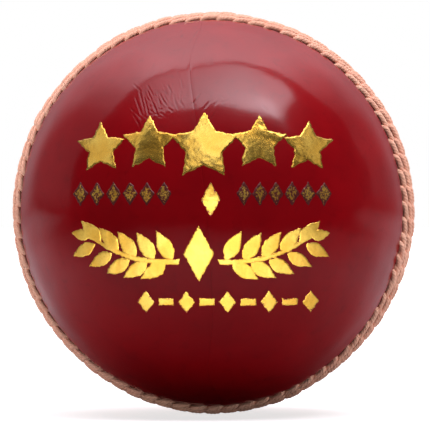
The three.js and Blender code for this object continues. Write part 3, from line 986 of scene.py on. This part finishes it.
def foil_piece(name, outlines, seed, ragged, worn, step=0.24):
    """Thin foil lying on the front face: each outline is filled, laid on the leather's own surface and given a thickness."""
    r = np.random.default_rng(seed)
    edge_noise = [Waves(seed * 10 + 1, 1.1), Waves(seed * 10 + 2, 0.5)]
    all_v, all_t, all_e, all_w = [], [], [], []
    base = 0
    for outline in outlines:
        ring = resample(outline, step * 0.8)
        area = 0.5 * np.sum(ring[:, 0] * np.roll(ring[:, 1], -1) - np.roll(ring[:, 0], -1) * ring[:, 1])
        if area < 0:
            ring = ring[::-1]
        d = np.roll(ring, -1, 0) - np.roll(ring, 1, 0)
        nrm = np.stack([d[:, 1], -d[:, 0]], 1)
        nrm /= np.maximum(np.linalg.norm(nrm, axis=1), 1e-9)[:, None]
        p3 = np.stack([ring[:, 0], np.zeros(len(ring)), ring[:, 1]], 1)
        ring = ring + nrm * (ragged * (0.6 * edge_noise[0](p3) + 0.5 * edge_noise[1](p3)))[:, None]
        lo, hi = ring.min(0), ring.max(0)
        gx, gz = np.meshgrid(np.arange(lo[0], hi[0], step * 1.15), np.arange(lo[1], hi[1], step * 1.15))
        pts = np.stack([gx.ravel(), gz.ravel()], 1)
        pts += r.uniform(-0.02, 0.02, pts.shape)
        # keep points inside the outline and clear of it
        a, b = ring, np.roll(ring, -1, 0)
        inside = np.zeros(len(pts), bool)
        dist = np.full(len(pts), 1e9)
        for (x0, z0), (x1, z1) in zip(a, b):
            cross = (z0 > pts[:, 1]) != (z1 > pts[:, 1])
            with np.errstate(divide="ignore", invalid="ignore"):
                xi = x0 + (pts[:, 1] - z0) * (x1 - x0) / (z1 - z0 if z1 != z0 else 1e-12)
            inside ^= cross & (pts[:, 0] < xi)
            ex, ez = x1 - x0, z1 - z0
            l2 = ex * ex + ez * ez + 1e-12
            t = np.clip(((pts[:, 0] - x0) * ex + (pts[:, 1] - z0) * ez) / l2, 0, 1)
            dist = np.minimum(dist, np.hypot(pts[:, 0] - x0 - t * ex, pts[:, 1] - z0 - t * ez))
        keep = inside & (dist > step * 0.45)
        pts, dist = pts[keep], dist[keep]
        coords = [Vector(p) for p in ring] + [Vector(p) for p in pts]
        n = len(ring)
        vout, _, fout, vorig, _, _ = delaunay_2d_cdt(coords, [], [list(range(n))], 1, 1e-5)
        v2 = np.array([tuple(v) for v in vout])
        rim = np.array([min(o) < n if len(o) else True for o in vorig])
        tri = []
        for f in fout:
            for i in range(1, len(f) - 1):
                tri.append((f[0], f[i], f[i + 1]))
        dmap = np.array([0.0 if (not len(o) or min(o) < n) else dist[min(o) - n] for o in vorig])
        unit = np.stack([v2[:, 0] / R, np.zeros(len(v2)), v2[:, 1] / R], 1)
        unit[:, 1] = -np.sqrt(np.maximum(0, 1 - unit[:, 0] ** 2 - unit[:, 2] ** 2))
        cut = np.abs(unit @ np.array([math.cos(QUARTER_TILT), 0, math.sin(QUARTER_TILT)])) * R
        h, _, _ = leather_height("front", unit, cut + 5)
        top = unit * (R + h + np.where(rim, 0.012, 0.026))[:, None]
        bottom = unit * (R + h - 0.06)[:, None]
        # outline edges, found as edges used once
        tri = np.array(tri)
        e = np.concatenate([tri[:, [0, 1]], tri[:, [1, 2]], tri[:, [2, 0]]])
        key = np.sort(e, axis=1)
        uniq, first, counts = np.unique(key, axis=0, return_index=True, return_counts=True)
        border = e[first[counts == 1]]
        m = len(v2)
        walls = []
        for i, j in border:
            walls.append((i, i + m, j + m))
            walls.append((i, j + m, j))
        faces = np.concatenate([tri, tri[:, ::-1] + m, np.array(walls)])
        all_v.append(np.concatenate([top, bottom]))
        all_t.append(faces + base)
        all_e.append(np.tile(np.clip(1 - dmap / 0.45, 0, 1), 2))
        all_w.append(np.full(2 * m, worn))
        base += 2 * m
    ob = mesh_object(name, np.concatenate(all_v), None, np.concatenate(all_t),
                     {"edge": np.concatenate(all_e), "worn": np.concatenate(all_w)}, [FOIL])
    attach(ob, "root")
    return ob


def build_foil():
    # upper band: five bold stars, the middle one larger
    stars = [star(-18.6, 11.2, 4.6, 2.35, 92), star(-9.9, 11.9, 5.0, 2.6, 90), star(-0.3, 11.4, 6.3, 3.3, 90),
             star(9.2, 12.0, 5.0, 2.6, 90), star(17.6, 11.4, 4.6, 2.35, 88)]
    foil_piece("foil_stars", stars, 61, 0.075, 0.10)
    foil_piece("foil_pendant", [diamond(0.9, 2.2, 1.7, 3.0)], 66, 0.06, 0.45)
    # thin band of small lozenges under them, more rubbed
    small = []
    for i, x in enumerate(np.linspace(-22.2, -7.2, 6)):
        small.append(diamond(x, 3.2, 1.35, 2.05))
    for i, x in enumerate(np.linspace(6.6, 20.4, 6)):
        small.append(diamond(x, 3.2, 1.35, 2.05))
    foil_piece("foil_small_lozenges", small, 62, 0.06, 0.98, 0.2)
    # lower band: two leafy sprigs meeting at a diamond, below a ruled line
    sprigs = []
    for sgn in (-1, 1):
        cx = -1.2
        sprigs.append(bar(cx + sgn * 3.4, -8.6, cx + sgn * 19.3, -4.2, 0.52, 0.30, 30, bow=-sgn * 1.5))
        for i in range(5):
            t = (i + 0.35) / 5.0
            bow = -sgn * 1.5 * math.sin(math.pi * t)
            x = cx + sgn * (3.4 + 15.9 * t) + 0
            z = -8.6 + 4.4 * t - abs(bow) * 1.0
            up_angle = math.radians(62 - 20 * t) if sgn > 0 else math.pi - math.radians(62 - 20 * t)
            dn_angle = math.radians(-32 + 4 * t) if sgn > 0 else math.pi + math.radians(32 - 4 * t)
            sprigs.append(leaf(x, z + 0.25, 6.0 - 1.0 * t, 1.45 - 0.22 * t, up_angle))
            sprigs.append(leaf(x + sgn * 1.2, z - 0.2, 5.4 - 0.9 * t, 1.4 - 0.22 * t, dn_angle))
        sprigs.append(leaf(cx + sgn * 19.2, -4.3, 3.6, 1.05, math.radians(12) if sgn > 0 else math.pi - math.radians(12)))
    foil_piece("foil_sprigs", sprigs, 63, 0.06, 0.12)
    foil_piece("foil_centre_diamond", [diamond(-1.2, -7.2, 2.7, 4.9)], 64, 0.08, 0.10)
    # last band: a row of beads and short rules
    beads = []
    for i, x in enumerate(np.linspace(-10.6, 18.0, 9)):
        if i % 2 == 0:
            beads.append(diamond(x, -15.6, 1.5, 1.9))
        else:
            beads.append(bar(x - 1.35, -15.6, x + 1.35, -15.6, 0.62, 0.62, 10))
    foil_piece("foil_lower_band", beads, 65, 0.06, 0.3, 0.2)


# ---------------------------------------------------------------- inside the cover
def rings_of(points, around, closed_loop=False):
    """Quads and end fans for a lathe-like grid: points is (levels, around, 3); poles are single points added after."""
    levels = points.shape[0]
    j = np.arange(around)
    jn = (j + 1) % around
    quads = []
    rng = range(levels if closed_loop else levels - 1)
    for k in rng:
        a, b = k * around, ((k + 1) % levels) * around
        quads.append(np.stack([a + j, a + jn, b + jn, b + j], 1))
    return np.concatenate(quads)


def euler(x, y, z):
    return np.array(Matrix.Rotation(z, 3, "Z") @ Matrix.Rotation(y, 3, "Y") @ Matrix.Rotation(x, 3, "X"))


def lathe_dirs(lats, around, phase=0.0):
    th = np.linspace(0, TAU, around, endpoint=False) + phase
    la = np.asarray(lats)[:, None]
    return np.stack([np.cos(la) * np.cos(th), np.sin(la) * np.ones_like(th), np.cos(la) * np.sin(th)], -1)


def wound_shell(node, r_in, r_out, seed, turn, around, steps, strands):
    """A winding: yarn laid round the ball in great circles, layer over layer, with the opening its tail is drawn through."""
    r = np.random.default_rng(seed)
    hole = math.acos(1.3 / r_out)
    lats = np.linspace(-math.pi / 2, hole, steps + 1)[1:]
    dirs = lathe_dirs(lats, around).reshape(-1, 3)
    normals = r.normal(size=(strands, 3))
    normals /= np.linalg.norm(normals, axis=1)[:, None]
    half = 0.52
    levels = r.uniform(0, 0.32, strands)
    height = np.full(len(dirs), -0.45)
    tone = np.zeros(len(dirs))
    for m_, lv, tn in zip(normals, levels, r.uniform(0, 1, strands)):
        d = dirs @ m_ * r_out
        on = np.abs(d) < half
        crown = np.sqrt(np.maximum(0, 1 - (d[on] / half) ** 2)) * 0.42
        # two plies twisted together, seen as a ripple along the strand
        ref = np.cross(m_, [0.31, 0.52, 0.79])
        s = np.arctan2(dirs[on] @ np.cross(m_, ref), dirs[on] @ ref) * r_out
        crown += 0.05 * np.sin(TAU * s / 1.5 + d[on] * 4.5)
        hgt = lv - 0.74 + crown
        better = hgt > height[on]
        idx = np.nonzero(on)[0][better]
        height[idx] = hgt[better]
        tone[idx] = tn
    outer = dirs * (r_out + height)[:, None]
    n_in = 24
    hole_in = math.acos(1.3 / r_in)
    lats_in = np.linspace(hole_in, -math.pi / 2, n_in + 1)[:-1]
    inner = lathe_dirs(lats_in, around).reshape(-1, 3) * r_in
    pts = np.concatenate([outer, inner])
    levels_total = len(lats) + len(lats_in)
    quads = rings_of(pts.reshape(levels_total, around, 3), around)
    j = np.arange(around)
    jn = (j + 1) % around
    south, south_in = len(pts), len(pts) + 1
    pts = np.concatenate([pts, [[0, -(r_out - 0.4), 0], [0, -r_in, 0]]])
    last = (levels_total - 1) * around
    tris = np.concatenate([np.stack([jn, j, np.full(around, south)], 1), np.stack([last + j, last + jn, np.full(around, south_in)], 1)])
    # painted shade: darker the lower the yarn lies between strands, half dark on the inner skin and at the poles
    cavity_shade = np.concatenate([np.clip((-height - 0.28) / 0.3, 0, 1), np.full(len(inner), 0.5), [0.5, 0.5]])
    tone = np.concatenate([tone, np.full(len(inner), 0.5), [0.5, 0.5]])
    ob = mesh_object("yarn_" + node, pts @ turn.T, quads, tris, {"cavity_shade": cavity_shade, "tone": tone}, [YARN])
    place(ob.name, ob, "wound_yarn", node)


def cork_gore(node, r_in, r_out, count, index, turn, seed):
    """One cork strip, a gore of its layer, with softened edges and an uneven cut."""
    r = np.random.default_rng(seed)
    lat_end = math.radians(64)
    half = math.pi / count
    mid = TAU * index / count + half
    nu, nv = 16, 40
    uneven = Waves(seed, 6.0)
    fine = Waves(seed + 1, 1.7)
    v = np.linspace(-1, 1, nv + 1)
    u = np.linspace(-1, 1, nu + 1)
    lat = v * lat_end
    # crowd towards the edges so that their rounding has points
    u = np.sign(u) * (1 - (1 - np.abs(u)) ** 1.5)

    def skin(radius, out):
        la = lat[:, None] * np.ones(nu + 1)[None, :]
        clearance = 0.35 / (radius * np.cos(la))  # half the gap between strips
        th = mid + u[None, :] * (half - clearance)
        # rounded towards every edge
        edge = np.minimum((1 - np.abs(u))[None, :] * radius * np.cos(la) * half, (1 - np.abs(v))[:, None] * radius * lat_end)
        fall = 0.22 * np.exp(-edge / 0.35)
        d = np.stack([np.cos(la) * np.cos(th), np.sin(la), -np.cos(la) * np.sin(th)], -1)
        p = d * radius
        wob = 0.04 * uneven(p.reshape(-1, 3)).reshape(la.shape) + 0.02 * fine(p.reshape(-1, 3)).reshape(la.shape) - 0.05
        return d * (radius + (wob - fall) * (1 if out else -1))[..., None]

    outer, inner = skin(r_out, True), skin(r_in, False)
    pts = np.concatenate([outer.reshape(-1, 3), inner.reshape(-1, 3)])
    w = nu + 1
    grid = lambda base, i, j: base + i * w + j
    quads = []
    off = (nv + 1) * w
    for i in range(nv):
        for j in range(nu):
            quads.append((grid(0, i, j), grid(0, i, j + 1), grid(0, i + 1, j + 1), grid(0, i + 1, j)))
            quads.append((grid(off, i, j), grid(off, i + 1, j), grid(off, i + 1, j + 1), grid(off, i, j + 1)))
    for j in range(nu):
        quads.append((grid(off, 0, j), grid(off, 0, j + 1), grid(0, 0, j + 1), grid(0, 0, j)))
        quads.append((grid(0, nv, j), grid(0, nv, j + 1), grid(off, nv, j + 1), grid(off, nv, j)))
    for i in range(nv):
        quads.append((grid(0, i, 0), grid(0, i + 1, 0), grid(off, i + 1, 0), grid(off, i, 0)))
        quads.append((grid(off, i, nu), grid(off, i + 1, nu), grid(0, i + 1, nu), grid(0, i, nu)))
    ob = mesh_object("cork_" + node, pts @ turn.T, quads, None, None, [CORK])
    place(ob.name, ob, "cork_strip", node)


def cup_lining(side):
    """A thin leather cup under the cover."""
    around = 144
    lip = math.asin(0.5 / R_LINING_OUT)
    lip_in = math.asin(0.5 / R_LINING_IN)
    up = np.radians(np.linspace(2.4, 90, 44))[1:]
    out_l = np.concatenate([[lip], up[:-1]])
    in_l = np.concatenate([[lip_in], up[:-1]])[::-1]
    uneven, fold = Waves(81, 5.0), Waves(82, 14.0)
    outer = lathe_dirs(-out_l, around).reshape(-1, 3)
    inner = lathe_dirs(-in_l, around).reshape(-1, 3)
    ease = lambda d: 1 - smooth(np.abs(d[:, 1]) * R, 0, 2)
    wob = lambda d: 0.02 * uneven(d * R) + 0.03 * fold(d * R)
    outer_p = outer * (R_LINING_OUT - 0.06 + wob(outer))[:, None]
    inner_p = inner * (R_LINING_IN + 0.06 + wob(inner))[:, None]
    pts = np.concatenate([outer_p, inner_p])
    # outer goes from the lip to the pole; inner from the pole back to the lip
    lv_o, lv_i = len(out_l), len(in_l)
    j = np.arange(around)
    jn = (j + 1) % around
    quads = []
    for k in range(lv_o - 1):
        quads.append(np.stack([k * around + j, k * around + jn, (k + 1) * around + jn, (k + 1) * around + j], 1))
    base = lv_o * around
    for k in range(lv_i - 1):
        quads.append(np.stack([base + k * around + j, base + k * around + jn, base + (k + 1) * around + jn, base + (k + 1) * around + j], 1))
    lip_o, lip_i = 0, base + (lv_i - 1) * around
    quads.append(np.stack([lip_i + j, lip_i + jn, lip_o + jn, lip_o + j], 1))
    pole_o, pole_i = len(pts), len(pts) + 1
    pts = np.concatenate([pts, [[0, -(R_LINING_OUT - 0.06), 0], [0, -(R_LINING_IN + 0.06), 0]]])
    top = (lv_o - 1) * around
    tris = np.concatenate([np.stack([top + j, top + jn, np.full(around, pole_o)], 1),
                           np.stack([base + jn, base + j, np.full(around, pole_i)], 1)])
    ob = mesh_object(f"lining_{side}_cup", pts @ TURN[side].T, np.concatenate(quads), tris, None, [LINING])
    place(ob.name, ob, "lining_leather", f"{side}_cup_lining")


def quarter_sewing(side):
    """The hidden thread that sews two quarters edge to edge: a twisted zigzag in its channel."""
    half_angle = math.radians(65.5)
    radius = R_IN + 0.62
    periods = 19
    n = periods * 2 * 14
    t = np.linspace(0, 1, n)
    a = -half_angle + 2 * half_angle * t
    ph = (t * periods * 2) % 2
    tri = np.where(ph < 1, 1 - 2 * ph, 2 * ph - 3)
    swing = 1.08 * np.sin(tri * math.pi / 2 * 0.96)
    rr = radius + 0.16 * np.cos(tri * math.pi)
    d = math.pi / 2 + QUARTER_TILT if side == "front" else -QUARTER_TILT
    # along is the seam's own direction in the cup's frame; across is square to it and to the pole
    along = np.array([math.cos(d), 0, math.sin(d)])
    across = np.cross(along, [0, 1.0, 0])
    path = rr[:, None] * (np.sin(a)[:, None] * along + np.cos(a)[:, None] * np.array([0, -1.0, 0])) + swing[:, None] * across
    path = quarter_warp(side, path)
    up = path / np.linalg.norm(path, axis=1)[:, None]
    width = np.full(n, 0.29)
    v, q, tr, cavity_shade, ply, al = twisted_tube(path, up, width, width, 3, 1.5, 0.0, 15, lobe=0.22)
    ob = mesh_object(f"sewing_{side}_quarter_seam", v @ TURN[side].T, q, tr, {"cavity_shade": cavity_shade}, [SEWING])
    place(ob.name, ob, "hidden_thread", f"{side}_quarter_seam_thread")


def nucleus():
    around, steps = 96, 48
    lats = np.linspace(-math.pi / 2, math.pi / 2, steps + 1)[1:-1]
    dirs = lathe_dirs(lats, around).reshape(-1, 3)
    lump, grit = Waves(91, 5.0), Waves(92, 1.5)
    h = -0.12 + 0.05 * lump(dirs * R_NUCLEUS) + 0.025 * grit(dirs * R_NUCLEUS)
    pts = dirs * (R_NUCLEUS + h)[:, None]
    quads = rings_of(pts.reshape(steps - 1, around, 3), around)
    j = np.arange(around)
    jn = (j + 1) % around
    s, t = len(pts), len(pts) + 1
    pts = np.concatenate([pts, [[0, -(R_NUCLEUS - 0.1), 0], [0, R_NUCLEUS - 0.1, 0]]])
    last = (steps - 2) * around
    tris = np.concatenate([np.stack([jn, j, np.full(around, s)], 1), np.stack([last + j, last + jn, np.full(around, t)], 1)])
    ob = mesh_object("cork_centre_nucleus", pts, quads, tris, None, [CORE])
    place(ob.name, ob, "cork_nucleus", "cork_nucleus")


def build_centre():
    wound_shell("outer_yarn_winding", 26.1 + 0.35, node_box("outer_yarn_winding")[1].max() - 0.02, 301, euler(0.5, 0, 0.9), 360, 170, 190)
    wound_shell("middle_yarn_winding", 18.5 + 0.3, 22.28, 302, euler(2.1, 0.4, 0), 260, 124, 130)
    wound_shell("inner_yarn_winding", 11.0 + 0.2, 14.98, 303, euler(0, 0, 2.4), 190, 90, 90)
    for i in range(8):
        cork_gore(f"outer_cork_strip_{i + 1}", 22.3 + 0.3, 26.1, 8, i, np.array(Matrix.Rotation(-math.pi / 2, 3, "Z")), 400 + 3 * i)
    for i in range(6):
        cork_gore(f"inner_cork_strip_{i + 1}", 15.0 + 0.3, 18.5, 6, i, np.array(Matrix.Rotation(math.pi / 2, 3, "X")), 450 + 3 * i)
    for side in ("front", "rear"):
        cup_lining(side)
        quarter_sewing(side)
    nucleus()


# ---------------------------------------------------------------- studio
FLOOR_GLOW = 0.72
FLOOR_PAINTED_REFLECTION = (0.30, 0.82)  # painted light: the floor's brightness in front of the ball and behind it, as the polish shows it, dim in front where little light falls
FLOOR_PAINTED_BOUNCE = 0.86  # painted pool of light: brightness of the paper close to the ball, for soft light
FOIL_CARDS = (  # name, receivers, direction, size in m, radiance
    ("card_low", "lower_foil", (0.0, -0.86, -0.51), (0.40, 0.32), 8.8), ("card_high", "upper_foil", (0.02, -0.78, 0.62), (0.15, 0.15), 1.55),
    ("card_high_left", "upper_foil", (-0.78, -0.30, 0.56), (0.16, 0.22), 0.7), ("card_high_right", "upper_foil", (0.80, -0.30, 0.50), (0.10, 0.20), 0.6),
)
COVER_FILLS = (
    ("fill_left", "cover", (-0.86, 0.48, -0.08), (0.26, 0.34), 1.15), ("fill_right", "cover", (0.86, 0.48, -0.08), (0.26, 0.34), 1.15),
    ("fill_above", "cover", (0.0, 0.45, 0.89), (0.30, 0.30), 0.35),
    ("thread_above", "thread", (-0.05, -0.45, 0.89), (0.34, 0.20), 1.5), ("thread_left", "thread", (-0.89, -0.43, 0.05), (0.20, 0.34), 2.1),
    ("thread_right", "thread", (0.89, -0.43, 0.05), (0.20, 0.34), 2.4),
)


def studio():
    sc = bpy.context.scene
    # floor, just touched by the ball's lowest thread
    ground = min(cad_box[0][2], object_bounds()[0][2])
    n = 96
    radii = [0.0, 0.03, 0.06, 0.12, 0.25, 0.5, 1.0, 2.0, 4.0, 8.0]
    verts, faces = [(0, 0, ground)], []
    for q in radii[1:]:
        verts += [(q * math.cos(TAU * i / n), q * math.sin(TAU * i / n), ground) for i in range(n)]
    faces = [(0, 1 + i, 1 + (i + 1) % n) for i in range(n)]
    for k in range(len(radii) - 2):
        a, b = 1 + k * n, 1 + (k + 1) * n
        faces += [(a + i, b + i, b + (i + 1) % n, a + (i + 1) % n) for i in range(n)]
    me = bpy.data.meshes.new("floor")
    me.from_pydata(verts, [], faces)
    floor = bpy.data.objects.new("floor", me)
    sc.collection.objects.link(floor)
    m, nd = material("pale_floor")
    p = nd.coords((1, 1, 1))
    where = nd.add("ShaderNodeSeparateXYZ")
    nd.put(where.inputs[0], p)
    reach = nd.add("ShaderNodeVectorMath", operation="LENGTH")
    nd.put(reach.inputs[0], p)
    reach = reach.outputs["Value"]
    way = nd.add("ShaderNodeLightPath")
    tone = nd.noise(p, 40.0, 3, 0.5)

    def shade(level):
        c = nd.add("ShaderNodeCombineColor")
        for i in range(3):
            nd.put(c.inputs[i], level)
        bsdf = nd.add("ShaderNodeBsdfDiffuse")
        nd.put(bsdf.inputs["Color"], c.outputs[0])
        return bsdf.outputs[0]

    # as seen directly: over-exposed paper, with the faintest shadow
    glow = nd.add("ShaderNodeEmission")
    glow.inputs["Color"].default_value = (1, 1, 1, 1)
    glow.inputs["Strength"].default_value = FLOOR_GLOW
    seen = nd.add("ShaderNodeAddShader")
    nd.put(seen.inputs[0], shade(nd.sum(0.80, nd.mul(tone, 0.06))))
    nd.put(seen.inputs[1], glow.outputs[0])
    # as mirrored in the polish, all painted light: grey in front, paler behind, gone in the distance, and a painted
    # contact shadow close to the ball
    level = nd.sum(FLOOR_PAINTED_REFLECTION[0], nd.mul(nd.step(where.outputs[1], -0.04, 0.10), FLOOR_PAINTED_REFLECTION[1] - FLOOR_PAINTED_REFLECTION[0]))
    level = nd.mul(level, nd.math("SUBTRACT", 1.0, nd.mul(nd.step(reach, 0.06, 0.31), nd.math("SUBTRACT", 1.0, nd.mul(nd.step(where.outputs[1], -0.15, 0.25), 0.62)))))
    # painted contact shadow: the mirrored floor darkens close to the ball
    level = nd.mul(level, nd.lin(reach, 0.028, 0.088, 0.05, 1.0))
    level = nd.mul(level, nd.lin(reach, 0.40, 1.60, 1.0, 0.45))
    mirrored = shade(level)
    # as a soft bounce: a painted pool of light on the paper close to the ball, with a painted contact shadow right
    # under it
    bounce = shade(nd.mul(nd.lin(reach, 0.070, 0.15, FLOOR_PAINTED_BOUNCE, 0.04), nd.lin(reach, 0.032, 0.080, 0.02, 1.0)))
    soft = nd.add("ShaderNodeMixShader")
    nd.put(soft.inputs[0], way.outputs["Is Glossy Ray"])
    nd.put(soft.inputs[1], bounce)
    nd.put(soft.inputs[2], mirrored)
    both = nd.add("ShaderNodeMixShader")
    nd.put(both.inputs[0], way.outputs["Is Camera Ray"])
    nd.put(both.inputs[1], soft.outputs[0])
    nd.put(both.inputs[2], seen.outputs[0])
    out = nd.add("ShaderNodeOutputMaterial")
    nd.put(out.inputs["Surface"], both.outputs[0])
    me.materials.append(m)
    floor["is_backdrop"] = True

    # a light tent as the world: two soft boxes overhead, a paler wall behind, dark towards the camera
    w = bpy.data.worlds.new("studio")
    sc.world = w
    w.use_nodes = True
    t = Nodes(w.node_tree)
    tc = t.add("ShaderNodeTexCoord")
    sep = t.add("ShaderNodeSeparateXYZ")
    t.put(sep.inputs[0], tc.outputs["Generated"])
    x, y, z = sep.outputs
    one_minus = lambda q: t.math("SUBTRACT", 1.0, q)
    above = t.step(z, 0.0, 0.12)
    split = t.math("SUBTRACT", y, t.sum(0.126, t.mul(x, 0.155)))  # the dark line between the two boxes
    side = t.step(t.math("ABSOLUTE", t.sum(x, 0.02)), 0.28, 0.78)
    rear_box = t.mul(t.step(split, 0.008, 0.035), t.mul(t.math("MAXIMUM", t.sum(3.3, t.mul(y, -3.9)), 0.1), t.sum(1.0, t.mul(side, -0.93))))
    power4 = lambda q: t.mul(t.mul(q, q), t.mul(q, q))
    q = t.sum(power4(t.mul(t.sum(x, -0.03), 1 / 0.56)), power4(t.mul(t.sum(y, 0.15), 1 / 0.275)))
    shape = t.mul(one_minus(t.step(q, 0.72, 1.22)), one_minus(t.step(split, -0.022, 0.0)))
    front_level = t.mul(t.sum(2.6, t.mul(y, -5.0)), t.math("MINIMUM", t.math("MAXIMUM", t.sum(1.0, t.mul(x, 1.2)), 0.4), 1.3))

    def blob(cx, cy, rx, ry, level):
        du = t.mul(t.sum(x, -cx), 1 / rx)
        dv = t.mul(t.sum(y, -cy), 1 / ry)
        return t.mul(t.math("POWER", 2.71828, t.mul(t.sum(t.mul(du, du), t.mul(dv, dv)), -1.0)), level)

    hot = t.sum(blob(0.42, -0.29, 0.10, 0.085, 3.0), blob(0.53, -0.345, 0.08, 0.045, 1.6))
    overhead = t.mul(above, t.sum(rear_box, t.mul(shape, front_level), hot, blob(-0.1, -0.55, 0.4, 0.08, 0.15)))
    behind = t.mul(t.step(y, 0.45, 0.85), 0.30)
    level = t.sum(overhead, behind, 0.015)
    light = t.add("ShaderNodeBackground")
    t.put(light.inputs["Color"], (1.0, 0.945, 1.02))
    t.put(light.inputs["Strength"], level)
    seen = t.add("ShaderNodeBackground")
    t.put(seen.inputs["Color"], (1, 1, 1))
    seen.inputs["Strength"].default_value = 1.0
    path = t.add("ShaderNodeLightPath")
    mixer = t.add("ShaderNodeMixShader")
    t.put(mixer.inputs[0], path.outputs["Is Camera Ray"])
    t.put(mixer.inputs[1], light.outputs[0])
    t.put(mixer.inputs[2], seen.outputs[0])
    out = t.add("ShaderNodeOutputWorld")
    t.put(out.inputs["Surface"], mixer.outputs[0])
    w.cycles.sampling_method = "MANUAL"
    w.cycles.sample_map_resolution = 1024

    # reflectors: some only the foil catches, some only the leather and thread; the floor throws none of their shadows
    upper_foil = bpy.data.collections.new("upper_foil_receivers")
    lower_foil = bpy.data.collections.new("lower_foil_receivers")
    cover_only = bpy.data.collections.new("cover_receivers")
    thread_only = bpy.data.collections.new("thread_receivers")
    catch = {"upper_foil": upper_foil, "lower_foil": lower_foil, "cover": cover_only, "thread": thread_only}
    for ob in bpy.data.objects:
        if ob.name.startswith("foil_"):
            (upper_foil if ob.name in ("foil_stars", "foil_small_lozenges") else lower_foil).objects.link(ob)
        if ob.name.startswith(("leather_", "stitches_")):
            cover_only.objects.link(ob)
        if ob.name.startswith("stitches_"):
            thread_only.objects.link(ob)
    for name, receivers, direction, size, radiance in FOIL_CARDS + COVER_FILLS:
        d = Vector(direction).normalized()
        lamp = bpy.data.lights.new(name, "AREA")
        lamp.shape = "RECTANGLE"
        lamp.size, lamp.size_y = size
        lamp.energy = radiance * math.pi * size[0] * size[1]
        ob = bpy.data.objects.new(name, lamp)
        ob.location = d * 0.30
        ob.rotation_mode = "QUATERNION"
        ob.rotation_quaternion = d.to_track_quat("Z", "Y")
        ob.visible_camera = False
        ob.visible_glossy = receivers.endswith("foil")
        sc.collection.objects.link(ob)
        ob.light_linking.receiver_collection = catch[receivers]
        ob.light_linking.blocker_collection = cover_only

    sc.view_settings.view_transform = "Standard"
    sc.view_settings.look = "None"
    sc.view_settings.exposure = 0.0
    sc.view_settings.gamma = 1.0

    cam = bpy.data.objects.new("camera", bpy.data.cameras.new("camera"))
    sc.collection.objects.link(cam)
    azimuth, distance = math.radians(2.2), 0.70
    back_dir = Vector((math.sin(azimuth), -math.cos(azimuth), 0.0))
    cam.location = back_dir * distance
    cam.rotation_mode = "QUATERNION"
    cam.rotation_quaternion = (-back_dir).to_track_quat("-Z", "Y")
    cam.data.sensor_width = 36
    cam.data.lens = 322.6
    cam.data.shift_x = 1.62 / 430
    cam.data.shift_y = -2.82 / 430
    cam.data.clip_start, cam.data.clip_end = 0.01, 50
    sc.camera = cam


build_leather()
for _side in ("front", "rear"):
    for _row in ("outer", "middle", "inner"):
        stitch_row(_side, _row)
build_foil()
build_centre()
studio()
